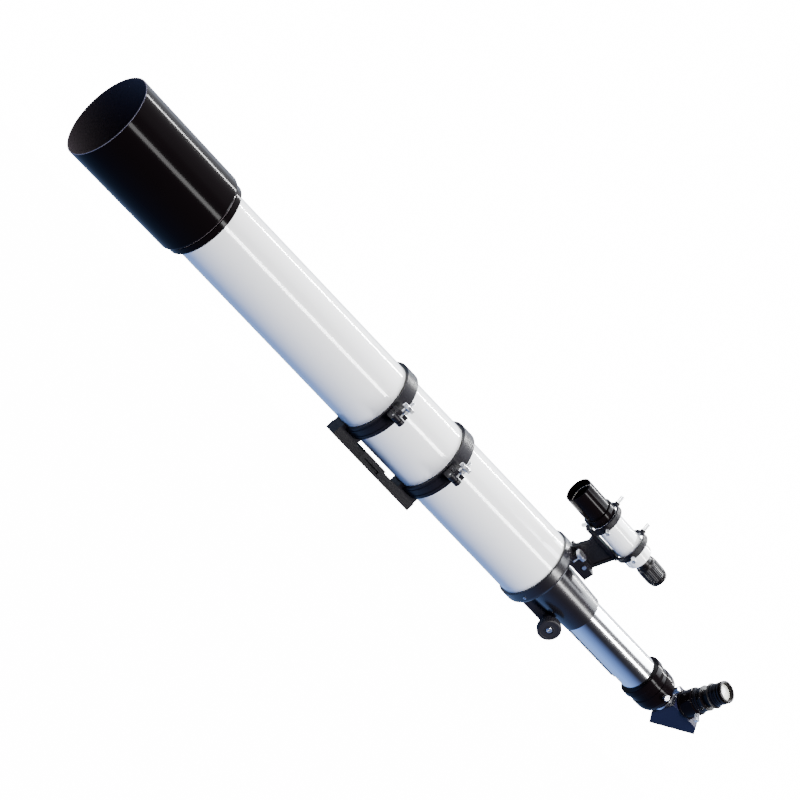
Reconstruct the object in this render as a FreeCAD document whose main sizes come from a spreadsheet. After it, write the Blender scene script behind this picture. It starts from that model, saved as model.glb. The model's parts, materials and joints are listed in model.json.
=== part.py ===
"""Refractor telescope tube: lens cell, main tube, focuser, star diagonal, finder and ring cradle.

Frame: +Z up, X along the optical axis with the sky at -X. The origin is the middle of the
mounting bar's underside. Lengths are millimetres. "Tube frame" below means the same directions
turned by tube_roll about the optical axis, with its origin on that axis above the bar's middle.
"""
import FreeCAD, Part
import math
import os
import Sketcher
from FreeCAD import Placement, Rotation, Vector

doc = FreeCAD.newDocument("refractor")
sheet = doc.addObject("Spreadsheet::Sheet", "sizes")

DRIVING_SIZES = {
    # cradle
    "tube_roll": 21.0, "ring_spacing": 126.4, "ring_lift": 2.22,
    "bar_length": 165.0, "bar_width": 30.0, "bar_thick": 13.3,
    "saddle_length": 45.0, "saddle_width": 44.0, "saddle_height": 16.3, "saddle_shift": -9.5,
    "wedge_length": 24.0, "slot_length": 31.0, "slot_low": 3.5, "slot_high": 9.0, "slot_deep": 3.0,
    "mount_hole_spacing": 35.0, "mount_hole_radius": 2.5, "centre_hole_radius": 2.55,
    "ring_band": 4.2, "ring_width": 21.5, "lining_thick": 1.2, "lining_gap": 0.08,
    "foot_length": 36.0, "foot_height": 9.3, "split_height": 6.5, "split_gap": 0.8,
    "hinge_offset": 3.4, "knuckle_radius": 4.4, "knuckle_width": 7.0, "knuckle_gap": 0.4,
    "hinge_pin_radius": 1.8, "lug_width": 18.0, "lug_arm": 18.02, "lug_lip": 2.5, "lug_eye_radius": 6.0,
    "pivot_height": 1.5, "pivot_pin_radius": 1.5, "lug_top": 13.0, "eye_radius": 4.8, "eye_width": 5.2,
    "bolt_slot": 5.8, "bolt_radius": 2.5, "bolt_length": 32.0, "nut_gap": 0.4, "nut_hub_radius": 5.0,
    "nut_hub_height": 6.4, "nut_disc_radius": 9.0, "nut_disc_height": 6.0,
    "running_gap": 0.05, "seat_gap": 0.02,
    "foot_bolt_radius": 3.0, "foot_bolt_head": 4.9, "foot_bolt_head_high": 6.0, "foot_bolt_key": 2.4,
    "foot_bolt_spacing": 20.0, "foot_bolt_grip": 5.5,
    # main tube, lens cell and dew shield
    "tube_radius": 55.0, "tube_wall": 1.5, "tube_length": 724.7, "tube_back": 285.0,
    "cell_flange_step": 7.9, "cell_flange_length": 10.9, "cell_barrel_step": 5.0,
    "cell_barrel_length": 39.4, "cell_spigot_length": 20.0, "spigot_gap": 0.1,
    "lens_inset": 2.0, "lens_gap": 0.15, "crown_thick": 14.0, "flint_thick": 8.0,
    "lens_air_gap": 0.8, "crown_front_curve": 620.0, "inner_curve": 365.0, "flint_back_curve": 1400.0,
    "lens_seat": 20.3, "seat_lip": 1.4, "seat_clearance": 0.1, "spacer_width": 2.0,
    "retainer_length": 7.0, "retainer_step": 2.5, "retainer_lip": 1.6,
    "baffle_thick": 1.2, "baffle_narrowing": 6.0, "baffle_first_opening": 45.0,
    "dew_mouth_step": 8.6, "dew_back_step": 6.7, "dew_wall": 1.9, "dew_length": 196.4,
    "dew_collar_length": 35.0, "dew_gap": 0.06, "dew_flange_gap": 1.4,
    # focuser
    "flange_step": 3.5, "flange_length": 21.0, "focuser_spigot": 20.0, "hollow_step": 7.5,
    "back_plate": 14.0, "barrel_root_wall": 8.2, "barrel_end_wall": 2.7, "barrel_length": 93.0,
    "drawtube_radius": 27.3, "drawtube_wall": 1.8, "draw_gap": 0.06, "drawtube_inset": 15.0,
    "drawtube_length": 248.0, "gear_module": 0.8, "pinion_teeth": 16.0, "pinion_offset": 61.0,
    "rack_front_offset": 35.0, "rack_back_offset": 36.0, "rack_width": 12.0, "rack_rise": 1.9,
    "rack_slot_gap": 0.3, "rack_addendum": 0.7, "gear_dedendum": 1.0, "backlash": 0.16,
    "gear_width": 13.0, "gear_clearance": 0.7, "housing_half_width": 12.0, "housing_floor": 9.6,
    "housing_cover": 2.2, "housing_back": 13.0, "cover_screw_offset": 9.0, "cover_screw_radius": 1.2,
    "boss_radius": 7.5, "boss_reach": 24.0, "shaft_radius": 3.0, "knob_radius": 17.4,
    "knob_width": 15.0, "knob_hub_radius": 8.0, "knob_reach": 44.0,
    # drawtube collar, adapter, diagonal and eyepiece
    "collar_overlap": 13.0, "collar_length": 46.5, "collar_lip_length": 10.5, "collar_lip_wall": 5.9,
    "collar_wall": 4.5, "collar_end_wall": 0.9, "collar_screw_inset": 11.0, "collar_screw_angle": 62.0,
    "adapter_neck_wall": 3.725, "adapter_neck_length": 7.5, "adapter_screw_angle": 14.0,
    "eyepiece_barrel_radius": 15.875, "barrel_wall": 1.6, "diagonal_roll": 43.0, "diagonal_gap": 0.5,
    "housing_front": 21.0, "housing_top": 24.5, "housing_back_depth": 26.6,
    "housing_low_end": 39.0, "housing_high_end": 53.5, "diagonal_cheek": 3.125, "diagonal_wall": 3.0,
    "back_plate_thick": 2.5, "prism_leg": 18.0, "prism_gap": 0.1, "nose_length": 30.0, "nose_flange": 3.0,
    "nose_flange_step": 2.6, "holder_wall": 4.325, "holder_lip_wall": 5.325, "holder_length": 23.5,
    "holder_screw_inset": 3.5, "holder_screw_angle": 20.0, "eyepiece_length": 51.5,
    # finder and its shoe
    "shoe_offset": 17.0, "shoe_length": 43.0, "shoe_half_width": 18.0, "shoe_height": 15.5,
    "shoe_rise": 1.0, "dovetail_depth": 7.0, "dovetail_top": 7.0, "dovetail_slope": 3.0,
    "dovetail_gap": 0.07, "foot_setback": 0.5, "stem_front_reach": 4.0, "stem_back_inset": 1.5,
    "stem_thick": 8.0, "stem_rib": 4.0, "stem_recess": 1.6, "finder_rise": 62.0, "hoop_band": 2.9,
    "hoop_room": 3.6, "hoop_width": 9.0, "hoop_front_reach": 12.0, "hoop_spacing": 60.0,
    "hoop_boss_radius": 4.0, "hoop_boss_rise": 3.0, "spine_depth": 5.0, "spine_width": 10.0,
    "finder_tube_radius": 20.0, "finder_tilt": 1.18, "finder_tube_wall": 1.4, "finder_nose": 17.0,
    "finder_tail": 25.0, "hood_step": 0.2, "hood_wall": 1.4, "hood_reach": 45.4, "hood_overlap": 8.0,
    "hood_band": 2.3, "finder_neck_radius": 12.6, "finder_grip_step": 2.7,
    "finder_eyepiece_reach": 46.6, "screw_shank_radius": 1.6, "screw_head_radius": 3.0,
    "screw_head_length": 10.0, "screw_first_angle": -34.0, "screw_point_gap": 0.25,
    "thumb_shank_radius": 2.0, "lock_head_radius": 9.5, "lock_head_height": 6.5,
    "lock_inset": 8.0, "lock_offset": 14.5,
}


class Size:
    """A number together with the spreadsheet expression that gives it."""

    def __init__(self, value, text):
        self.value = float(value)
        self.text = text

    @staticmethod
    def of(other):
        return other if isinstance(other, Size) else Size(other, repr(float(other)))

    def _join(self, other, sign, result):
        return Size(result, "(" + self.text + " " + sign + " " + Size.of(other).text + ")")

    def __add__(self, other):
        return self._join(other, "+", self.value + Size.of(other).value)

    def __sub__(self, other):
        return self._join(other, "-", self.value - Size.of(other).value)

    def __mul__(self, other):
        return self._join(other, "*", self.value * Size.of(other).value)

    def __truediv__(self, other):
        return self._join(other, "/", self.value / Size.of(other).value)

    def __radd__(self, other):
        return Size.of(other) + self

    def __rsub__(self, other):
        return Size.of(other) - self

    def __rmul__(self, other):
        return Size.of(other) * self

    def __neg__(self):
        return Size.of(0) - self

    def __float__(self):
        return self.value


class Sizes:
    """The driving sizes by name."""


S = Sizes()
for row, (size_name, size_value) in enumerate(DRIVING_SIZES.items(), start=1):
    cell = "A%d" % row
    sheet.set(cell, str(size_value))
    sheet.setAlias(cell, size_name)
    setattr(S, size_name, Size(size_value, "sizes." + size_name))
doc.recompute()


def derive_sizes():
    """Sizes of pieces that fit to one another, from the driving sizes and their walls and clearances."""
    S.tube_bore = S.tube_radius - S.tube_wall
    S.tube_front = S.tube_back - S.tube_length
    S.ring_bore = S.tube_radius + S.lining_gap + S.lining_thick
    S.ring_radius = S.ring_bore + S.ring_band
    S.axis_height = S.bar_thick + S.ring_lift + S.ring_radius
    S.foot_top = S.bar_thick + S.foot_height
    S.foot_bolt_rise = S.bar_thick + S.foot_bolt_grip
    S.lug_reach = S.ring_radius + S.lug_arm

    S.cell_flange_radius = S.tube_radius + S.cell_flange_step
    S.cell_barrel_radius = S.tube_radius + S.cell_barrel_step
    S.cell_face = S.tube_front - S.cell_flange_length
    S.cell_front = S.cell_face - S.cell_barrel_length
    S.lens_radius = S.tube_bore - S.lens_inset
    S.retainer_radius = S.lens_radius + S.retainer_step
    S.dew_mouth_radius = S.cell_barrel_radius + S.dew_mouth_step
    S.dew_back_radius = S.cell_barrel_radius + S.dew_back_step

    S.flange_radius = S.tube_radius + S.flange_step
    S.flange_back = S.tube_back + S.flange_length
    S.hollow_radius = S.tube_bore - S.hollow_step
    S.plate_front = S.flange_back - S.back_plate
    S.barrel_end = S.flange_back + S.barrel_length
    S.barrel_root_radius = S.drawtube_radius + S.barrel_root_wall
    S.barrel_end_radius = S.drawtube_radius + S.barrel_end_wall
    S.draw_bore = S.drawtube_radius + S.draw_gap
    S.drawtube_front = S.tube_back + S.drawtube_inset
    S.drawtube_back = S.drawtube_front + S.drawtube_length
    S.pinion_station = S.flange_back + S.pinion_offset
    S.pitch_radius = S.gear_module * S.pinion_teeth / 2
    S.gear_way_radius = S.pitch_radius + S.gear_module + S.gear_clearance
    S.rack_pitch_line = S.drawtube_radius + S.rack_rise
    S.rack_tip = S.rack_pitch_line + S.rack_addendum
    S.rack_front = S.drawtube_front + S.rack_front_offset
    S.rack_back = S.drawtube_back - S.rack_back_offset
    S.pinion_drop = S.rack_pitch_line + S.pitch_radius
    S.housing_depth = S.pinion_drop + S.housing_floor

    S.collar_front = S.drawtube_back - S.collar_overlap
    S.collar_back = S.collar_front + S.collar_length
    S.collar_lip_radius = S.drawtube_radius + S.collar_lip_wall
    S.collar_radius = S.drawtube_radius + S.collar_wall
    S.collar_end_radius = S.drawtube_radius + S.collar_end_wall
    S.adapter_radius = S.drawtube_radius - S.drawtube_wall - 0.1
    S.adapter_neck_radius = S.eyepiece_barrel_radius + S.adapter_neck_wall
    S.adapter_back = S.collar_back + S.adapter_neck_length
    S.diagonal_station = S.adapter_back + S.diagonal_gap + S.nose_flange + S.housing_front
    S.diagonal_width = 2 * (S.eyepiece_barrel_radius + S.diagonal_cheek)
    S.light_radius = S.eyepiece_barrel_radius - S.barrel_wall
    S.holder_radius = S.eyepiece_barrel_radius + S.holder_wall
    S.holder_lip_radius = S.eyepiece_barrel_radius + S.holder_lip_wall
    S.holder_top = S.housing_top + S.holder_length
    S.eyepiece_top = S.holder_top + S.eyepiece_length

    S.shoe_front = S.tube_back + S.shoe_offset
    S.shoe_back = S.shoe_front + S.shoe_length
    S.shoe_top = S.flange_radius + S.shoe_rise
    S.shoe_bottom = S.shoe_top - S.shoe_height
    S.lock_station = S.shoe_front + S.lock_inset
    S.stem_front = S.shoe_front - S.stem_front_reach
    S.stem_back = S.shoe_back - S.stem_back_inset
    S.finder_height = S.shoe_top + S.finder_rise
    S.hoop_bore = S.finder_tube_radius + S.hoop_room
    S.hoop_radius = S.hoop_bore + S.hoop_band
    S.hoop_front = S.shoe_front - S.hoop_front_reach
    S.hoop_back = S.hoop_front + S.hoop_spacing
    S.finder_tube_front = S.hoop_front - S.finder_nose
    S.finder_tube_back = S.hoop_back + S.finder_tail
    S.hood_radius = S.finder_tube_radius + S.hood_step
    S.hood_front = S.finder_tube_front - S.hood_reach
    S.hood_back = S.finder_tube_front + S.hood_overlap
    S.finder_eyepiece_radius = S.finder_neck_radius + S.finder_grip_step
    S.finder_eyepiece_end = S.finder_tube_back + S.finder_eyepiece_reach


derive_sizes()
NODES = []
X_AXIS = Vector(1, 0, 0)


# ---------------------------------------------------------------- building blocks

def bind(obj, prop, size):
    """Give a property its value and the expression that keeps it."""
    size = Size.of(size)
    obj.setExpression(prop, size.text)


def place(obj, at=(0, 0, 0), rotation=None):
    """Put a primitive at three sizes, turned by a fixed rotation."""
    base = Vector(*[float(Size.of(c)) for c in at])
    obj.Placement = Placement(base, rotation or Rotation())
    for letter, size in zip("xyz", at):
        if isinstance(size, Size):
            obj.setExpression("Placement.Base." + letter, size.text)


TURN = {"x": Rotation(Vector(0, 1, 0), 90), "y": Rotation(Vector(1, 0, 0), -90), "z": Rotation()}


def rod(name, radius, length, at, along):
    """A cylinder that starts at a point and runs along +x, +y or +z."""
    obj = doc.addObject("Part::Cylinder", name)
    bind(obj, "Radius", radius)
    bind(obj, "Height", length)
    place(obj, at, TURN[along])
    return obj


def block(name, low, high):
    """A box between two corners."""
    obj = doc.addObject("Part::Box", name)
    for prop, a, b in zip(("Length", "Width", "Height"), low, high):
        bind(obj, prop, Size.of(b) - a)
    place(obj, low)
    return obj


def ball(name, radius, station):
    obj = doc.addObject("Part::Sphere", name)
    bind(obj, "Radius", radius)
    place(obj, (station, 0, 0))
    return obj


def fuse(name, *parts):
    obj = doc.addObject("Part::MultiFuse", name)
    obj.Shapes = list(parts)
    return obj


def common(name, *parts):
    obj = doc.addObject("Part::MultiCommon", name)
    obj.Shapes = list(parts)
    return obj


def cut(name, base, *tools):
    obj = doc.addObject("Part::Cut", name)
    obj.Base = base
    obj.Tool = tools[0] if len(tools) == 1 else fuse(name + "_tools", *tools)
    return obj


def group(name, *parts):
    """Separate solids that share one node."""
    obj = doc.addObject("Part::Compound", name)
    obj.Links = list(parts)
    return obj


def origin_plane(body, role):
    return next(f for f in body.Origin.OriginFeatures if f.Role == role)


def outline(body, name, role, corners):
    """A closed polygon sketch whose corners are dimensioned from the body's origin."""
    sketch = body.newObject("Sketcher::SketchObject", name)
    sketch.AttachmentSupport = [(origin_plane(body, role), "")]
    sketch.MapMode = "FlatFace"
    corners = [(Size.of(a), Size.of(b)) for a, b in corners]
    points = [Vector(a.value, b.value, 0) for a, b in corners]
    count = len(points)
    sketch.addGeometry([Part.LineSegment(points[i], points[(i + 1) % count]) for i in range(count)], False)
    sketch.addConstraint([Sketcher.Constraint("Coincident", i, 2, (i + 1) % count, 1) for i in range(count)])
    for i, corner in enumerate(corners):
        for kind, size in zip(("DistanceX", "DistanceY"), corner):
            number = sketch.addConstraint(Sketcher.Constraint(kind, -1, 1, i, 1, size.value))
            sketch.setExpression("Constraints[%d]" % number, size.text)
    return sketch


def turned(name, corners):
    """A solid of revolution about x, from (station, radius) corners."""
    body = doc.addObject("PartDesign::Body", name)
    sketch = outline(body, name + "_profile", "XZ_Plane", corners)
    revolution = body.newObject("PartDesign::Revolution", name + "_turning")
    revolution.Profile = sketch
    revolution.ReferenceAxis = (sketch, ["H_Axis"])
    revolution.Angle = 360
    return body


def slab(name, corners, width):
    """A prism of an x-z outline, centred on y = 0."""
    body = doc.addObject("PartDesign::Body", name)
    sketch = outline(body, name + "_outline", "XZ_Plane", corners)
    pad = body.newObject("PartDesign::Pad", name + "_pad")
    pad.Profile = sketch
    pad.Midplane = True
    bind(pad, "Length", width)
    return body


def rail(name, corners, start, length):
    """A prism of a y-z outline, from a station along +x."""
    body = doc.addObject("PartDesign::Body", name)
    sketch = outline(body, name + "_outline", "YZ_Plane", corners)
    pad = body.newObject("PartDesign::Pad", name + "_pad")
    pad.Profile = sketch
    bind(pad, "Length", length)
    place(body, (start, 0, 0))
    return body


def node(obj, label, placement=None):
    """Name a finished sub-part and put it in the object's frame."""
    obj.Label = label
    if placement is not None:
        obj.Placement = placement
    NODES.append(obj)
    return obj


def on_axis(roll, station=0.0):
    """The frame on the optical axis, turned about it."""
    return Placement(Vector(float(station), 0, float(S.axis_height)), Rotation(X_AXIS, float(roll)))


def axis_node(obj, label, roll=None, station=None):
    """A sub-part that sits on the optical axis: its height and roll stay bound to the sheet."""
    roll = roll or S.tube_roll
    node(obj, label, on_axis(roll, station or 0.0))
    obj.setExpression("Placement.Base.z", S.axis_height.text)
    obj.setExpression("Placement.Rotation.Angle", roll.text)
    if station is not None:
        obj.setExpression("Placement.Base.x", station.text)
    return obj


def pointing(angle, station, centre_height=0.0):
    """A frame whose x runs outwards, at an angle from +z towards -y, from a centre line along x."""
    angle = math.radians(float(angle))
    direction = Vector(0, -math.sin(angle), math.cos(angle))
    return Placement(Vector(float(station), 0, float(centre_height)), Rotation(X_AXIS, direction))


# ---------------------------------------------------------------- cradle

FOOT_BOLT_OFFSETS = (S.foot_bolt_spacing / -2, S.foot_bolt_spacing / 2)
RING_STATIONS = {"front": S.ring_spacing / -2, "rear": S.ring_spacing / 2}


def pad_on_bar(body, name, corners, height):
    sketch = outline(body, name + "_outline", "XY_Plane", corners)
    pad = body.newObject("PartDesign::Pad", name)
    pad.Profile = sketch
    bind(pad, "Length", height)
    return pad


def make_mounting_bar():
    body = doc.addObject("PartDesign::Body", "bar_casting")
    half_length = S.bar_length / 2
    half_width = S.bar_width / 2
    pad_on_bar(body, "bar_pad", [(-half_length, -half_width), (half_length, -half_width),
                                 (half_length, half_width), (-half_length, half_width)], S.bar_thick)
    front = S.saddle_shift - S.saddle_length / 2
    back = S.saddle_shift + S.saddle_length / 2
    side = S.saddle_width / 2
    pad_on_bar(body, "saddle_pad", [(front, -side), (back, -side), (back, side), (front, side)],
               S.saddle_height)
    wedge = front - S.wedge_length
    inside = half_width - 1
    pad_on_bar(body, "wedge_pad", [(wedge, -half_width), (front + 1, -side), (front + 1, side),
                                   (wedge, half_width), (wedge, inside), (wedge, -inside)], S.bar_thick)
    tools = []
    middle = S.saddle_shift
    for sign, tag in ((-1, "near"), (1, "far")):
        outer = sign * (side + 1)
        inner = sign * (side - S.slot_deep)
        low_y, high_y = (outer, inner) if sign < 0 else (inner, outer)
        tools.append(block(tag + "_slot", (middle - S.slot_length / 2, low_y, S.slot_low),
                           (middle + S.slot_length / 2, high_y, S.slot_high)))
    tall = S.saddle_height + 2
    tools.append(rod("centre_thread", S.centre_hole_radius, tall, (middle, 0, -1), "z"))
    for sign, tag in ((-1, "front"), (1, "rear")):
        tools.append(rod(tag + "_mount_thread", S.mount_hole_radius, tall,
                         (middle + sign * S.mount_hole_spacing / 2, 0, -1), "z"))
    for ring, station in RING_STATIONS.items():
        for number, offset in enumerate(FOOT_BOLT_OFFSETS):
            tag = "%s_%d" % (ring, number)
            tools.append(rod("bolt_way_" + tag, S.foot_bolt_radius + 0.3, S.bar_thick + 2,
                             (station + offset, 0, -1), "z"))
            tools.append(rod("bolt_recess_" + tag, S.foot_bolt_head + 0.4, S.foot_bolt_head_high + 2,
                             (station + offset, 0, -1), "z"))
    return node(cut("mounting_bar", body, *tools), "mounting_bar")


def ring_cylinder(name, radius, station, width=None, at_y=0.0, at_z=0.0):
    """A cylinder along x, centred on a ring's station; heights are from the optical axis."""
    width = width or S.ring_width
    return rod(name, radius, width, (station - width / 2, at_y, S.axis_height + at_z), "x")


def make_ring(ring, station):
    """The lower half with its foot, the upper half, and the knuckles and lugs that join them."""
    hinge_y = S.ring_radius + S.hinge_offset
    split_low = S.axis_height + S.split_height - S.split_gap / 2
    split_high = S.axis_height + S.split_height + S.split_gap / 2
    hinge_low = S.axis_height - S.split_gap / 2
    hinge_high = S.axis_height + S.split_gap / 2
    half_lug = S.lug_width / 2
    low_x = station - 2 * S.ring_width
    high_x = station + 2 * S.ring_width
    past = 2 * S.lug_reach

    def knuckle(name, radius, offset, width):
        return ring_cylinder(name, radius, station + offset, width, hinge_y)

    bore = ring_cylinder(ring + "_bore", S.ring_bore, station, Size.of(120))
    lower = fuse(
        ring + "_lower_blank",
        ring_cylinder(ring + "_lower_disc", S.ring_radius, station),
        block(ring + "_foot", (station - S.foot_length / 2, -S.bar_width / 2, S.bar_thick),
              (station + S.foot_length / 2, S.bar_width / 2, S.foot_top)),
        block(ring + "_lower_lug",
              (station - half_lug, -S.lug_reach, S.axis_height + S.pivot_height - S.lug_eye_radius),
              (station + half_lug, -S.ring_bore, split_high)),
        ring_cylinder(ring + "_lower_eye", S.lug_eye_radius, station, S.lug_width,
                      -S.lug_reach, S.pivot_height))
    above_lower = [
        block(ring + "_above_near", (low_x, -past, split_low), (high_x, 0, S.axis_height + past)),
        block(ring + "_above_far", (low_x, -1, hinge_low), (high_x, past, S.axis_height + past))]
    slot = block(ring + "_slot", (station - S.bolt_slot / 2, -S.lug_reach - 12, S.axis_height - 30),
                 (station + S.bolt_slot / 2, -S.lug_reach + S.eye_radius + 1.2, S.axis_height + 30))
    side = S.knuckle_width + 2 * S.knuckle_gap
    lower_cut = cut(
        ring + "_lower_cut", lower, bore, slot, *above_lower,
        ring_cylinder(ring + "_lower_pivot_hole", S.pivot_pin_radius + S.seat_gap, station, S.lug_width + 4,
                      -S.lug_reach, S.pivot_height),
        knuckle(ring + "_clear_a", S.knuckle_radius + S.knuckle_gap, -S.knuckle_width - S.knuckle_gap, side),
        knuckle(ring + "_clear_b", S.knuckle_radius + S.knuckle_gap, S.knuckle_width + S.knuckle_gap, side),
        *[rod("%s_foot_thread_%d" % (ring, n), S.foot_bolt_radius + S.seat_gap, Size.of(12),
              (station + offset, 0, S.bar_thick - 1), "z") for n, offset in enumerate(FOOT_BOLT_OFFSETS)])
    lower_all = fuse(ring + "_lower_all", lower_cut,
                     cut(ring + "_mid_knuckle", knuckle(ring + "_mid_blank", S.knuckle_radius, Size.of(0),
                                                        S.knuckle_width),
                         ring_cylinder(ring + "_lower_bore", S.ring_radius - 1, station, Size.of(60)),
                         knuckle(ring + "_mid_hole", S.hinge_pin_radius + S.seat_gap, Size.of(0),
                                 Size.of(30))))
    node(cut(ring + "_ring_lower", lower_all,
             knuckle(ring + "_lower_pin_way", S.hinge_pin_radius + S.seat_gap, Size.of(0), Size.of(30))),
         ring + "_ring_lower")

    upper = fuse(
        ring + "_upper_blank",
        ring_cylinder(ring + "_upper_disc", S.ring_radius, station),
        block(ring + "_upper_lug", (station - half_lug, -S.lug_reach - S.lug_lip, split_low),
              (station + half_lug, -S.ring_bore, S.axis_height + S.lug_top)))
    upper_cut = cut(
        ring + "_upper_cut", upper,
        ring_cylinder(ring + "_upper_bore", S.ring_bore, station, Size.of(120)),
        block(ring + "_upper_slot", (station - S.bolt_slot / 2, -S.lug_reach - 12, S.axis_height - 30),
              (station + S.bolt_slot / 2, -S.lug_reach + S.eye_radius + 1.2, S.axis_height + 30)),
        block(ring + "_below_near", (low_x, -past, S.axis_height - past), (high_x, 1, split_high)),
        block(ring + "_below_far", (low_x, 0, S.axis_height - past), (high_x, past, hinge_high)),
        knuckle(ring + "_clear_mid", S.knuckle_radius + S.knuckle_gap, Size.of(0), side))
    offset = S.knuckle_width + S.knuckle_gap
    width = S.knuckle_width - S.knuckle_gap
    outer_knuckles = cut(
        ring + "_outer_knuckles",
        fuse(ring + "_outer_blanks", knuckle(ring + "_knuckle_a", S.knuckle_radius, -offset, width),
             knuckle(ring + "_knuckle_b", S.knuckle_radius, offset, width)),
        ring_cylinder(ring + "_upper_trim", S.ring_radius - 1, station, Size.of(60)))
    node(cut(ring + "_ring_upper", fuse(ring + "_upper_all", upper_cut, outer_knuckles),
             knuckle(ring + "_upper_pin_way", S.hinge_pin_radius + S.seat_gap, Size.of(0), Size.of(30))),
         ring + "_ring_upper")


def make_ring_linings():
    strips = []
    for ring, station in RING_STATIONS.items():
        sleeve = cut(ring + "_sleeve", ring_cylinder(ring + "_sleeve_out", S.ring_bore, station),
                     ring_cylinder(ring + "_sleeve_in", S.tube_radius + S.lining_gap, station, Size.of(60)))
        half_gap = S.split_gap / 2
        low_x = station - S.ring_width
        high_x = station + S.ring_width
        split = S.axis_height + S.split_height
        joint = [block(ring + "_joint_near", (low_x, -S.lug_reach, split - half_gap),
                       (high_x, 0, split + half_gap)),
                 block(ring + "_joint_far", (low_x, 0, S.axis_height - half_gap),
                       (high_x, S.lug_reach, S.axis_height + half_gap))]
        strips.append(cut(ring + "_lining", sleeve, *joint))
    node(group("ring_linings", *strips), "ring_linings")


def make_ring_pins():
    pins = []
    for ring, station in RING_STATIONS.items():
        pins.append(ring_cylinder(ring + "_hinge_pin", S.hinge_pin_radius, station, S.ring_width + 1.5,
                                  S.ring_radius + S.hinge_offset))
        pins.append(ring_cylinder(ring + "_pivot_pin", S.pivot_pin_radius, station, S.lug_width + 0.8,
                                  -S.lug_reach, S.pivot_height))
    node(group("ring_pins", *pins), "ring_pins")


def make_ring_foot_bolts():
    bolts = []
    seat = S.foot_bolt_head_high + 1
    for ring, station in RING_STATIONS.items():
        for number, offset in enumerate(FOOT_BOLT_OFFSETS):
            tag = "%s_%d" % (ring, number)
            head = rod("head_" + tag, S.foot_bolt_head, S.foot_bolt_head_high,
                       (station + offset, 0, 1), "z")
            shank = rod("shank_" + tag, S.foot_bolt_radius, S.foot_bolt_rise - seat,
                        (station + offset, 0, seat), "z")
            key = rod("key_" + tag, S.foot_bolt_key, Size.of(3.5), (station + offset, 0, 0.5), "z")
            bolts.append(cut("bolt_" + tag, fuse("bolt_blank_" + tag, head, shank), key))
    node(group("ring_foot_bolts", *bolts), "ring_foot_bolts")


def make_swing_bolt(ring, station):
    pivot_z = S.axis_height + S.pivot_height
    shank = rod(ring + "_bolt_shank", S.bolt_radius, S.bolt_length, (station, -S.lug_reach, pivot_z), "z")
    eye = ring_cylinder(ring + "_bolt_eye", S.eye_radius, station, S.eye_width,
                        -S.lug_reach, S.pivot_height)
    hole = ring_cylinder(ring + "_bolt_hole", S.pivot_pin_radius + S.running_gap, station, Size.of(12),
                         -S.lug_reach, S.pivot_height)
    node(cut(ring + "_swing_bolt", fuse(ring + "_bolt_blank", eye, shank), hole), ring + "_swing_bolt")
    low = S.axis_height + S.lug_top + S.nut_gap
    hub = rod(ring + "_nut_hub", S.nut_hub_radius, S.nut_hub_height + 0.5,
              (station, -S.lug_reach, low), "z")
    disc = rod(ring + "_nut_disc", S.nut_disc_radius, S.nut_disc_height,
               (station, -S.lug_reach, low + S.nut_hub_height), "z")
    thread = rod(ring + "_nut_thread", S.bolt_radius + S.running_gap, Size.of(40),
                 (station, -S.lug_reach, low - 5), "z")
    node(cut(ring + "_clamp_nut", fuse(ring + "_nut_blank", hub, disc), thread), ring + "_clamp_nut")


# ---------------------------------------------------------------- tube, lens cell and dew shield

LENS_SEAT = S.tube_front - S.lens_seat
FLINT_BACK = LENS_SEAT - S.seat_clearance + (S.lens_radius * S.lens_radius) / (2 * S.flint_back_curve)
FLINT_FRONT = FLINT_BACK - S.flint_thick
CROWN_BACK = FLINT_FRONT - S.lens_air_gap
CROWN_FRONT = CROWN_BACK - S.crown_thick
INNER_SAG = (S.lens_radius * S.lens_radius) / (2 * S.inner_curve)


def make_main_tube():
    axis_node(turned("tube", [(S.tube_front, S.tube_bore), (S.tube_front, S.tube_radius),
                              (S.tube_back, S.tube_radius), (S.tube_back, S.tube_bore)]), "main_tube")


def make_lens_cell():
    bore = S.lens_radius + S.lens_gap
    spigot = S.tube_bore - S.spigot_gap
    spigot_end = S.tube_front + S.cell_spigot_length
    thread_end = S.cell_front + S.retainer_length
    thread = S.retainer_radius + S.seat_gap
    axis_node(turned("cell", [
        (S.cell_front, thread), (S.cell_front, S.cell_barrel_radius - 0.6),
        (S.cell_front + 0.6, S.cell_barrel_radius), (S.cell_face, S.cell_barrel_radius),
        (S.cell_face, S.cell_flange_radius - 0.8), (S.cell_face + 0.8, S.cell_flange_radius),
        (S.tube_front - 1.2, S.cell_flange_radius), (S.tube_front, S.cell_flange_radius - 1.2),
        (S.tube_front, spigot), (spigot_end, spigot), (spigot_end, S.lens_radius - S.seat_lip),
        (LENS_SEAT, S.lens_radius - S.seat_lip), (LENS_SEAT, bore), (thread_end, bore),
        (thread_end, thread)]), "lens_cell")


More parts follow.
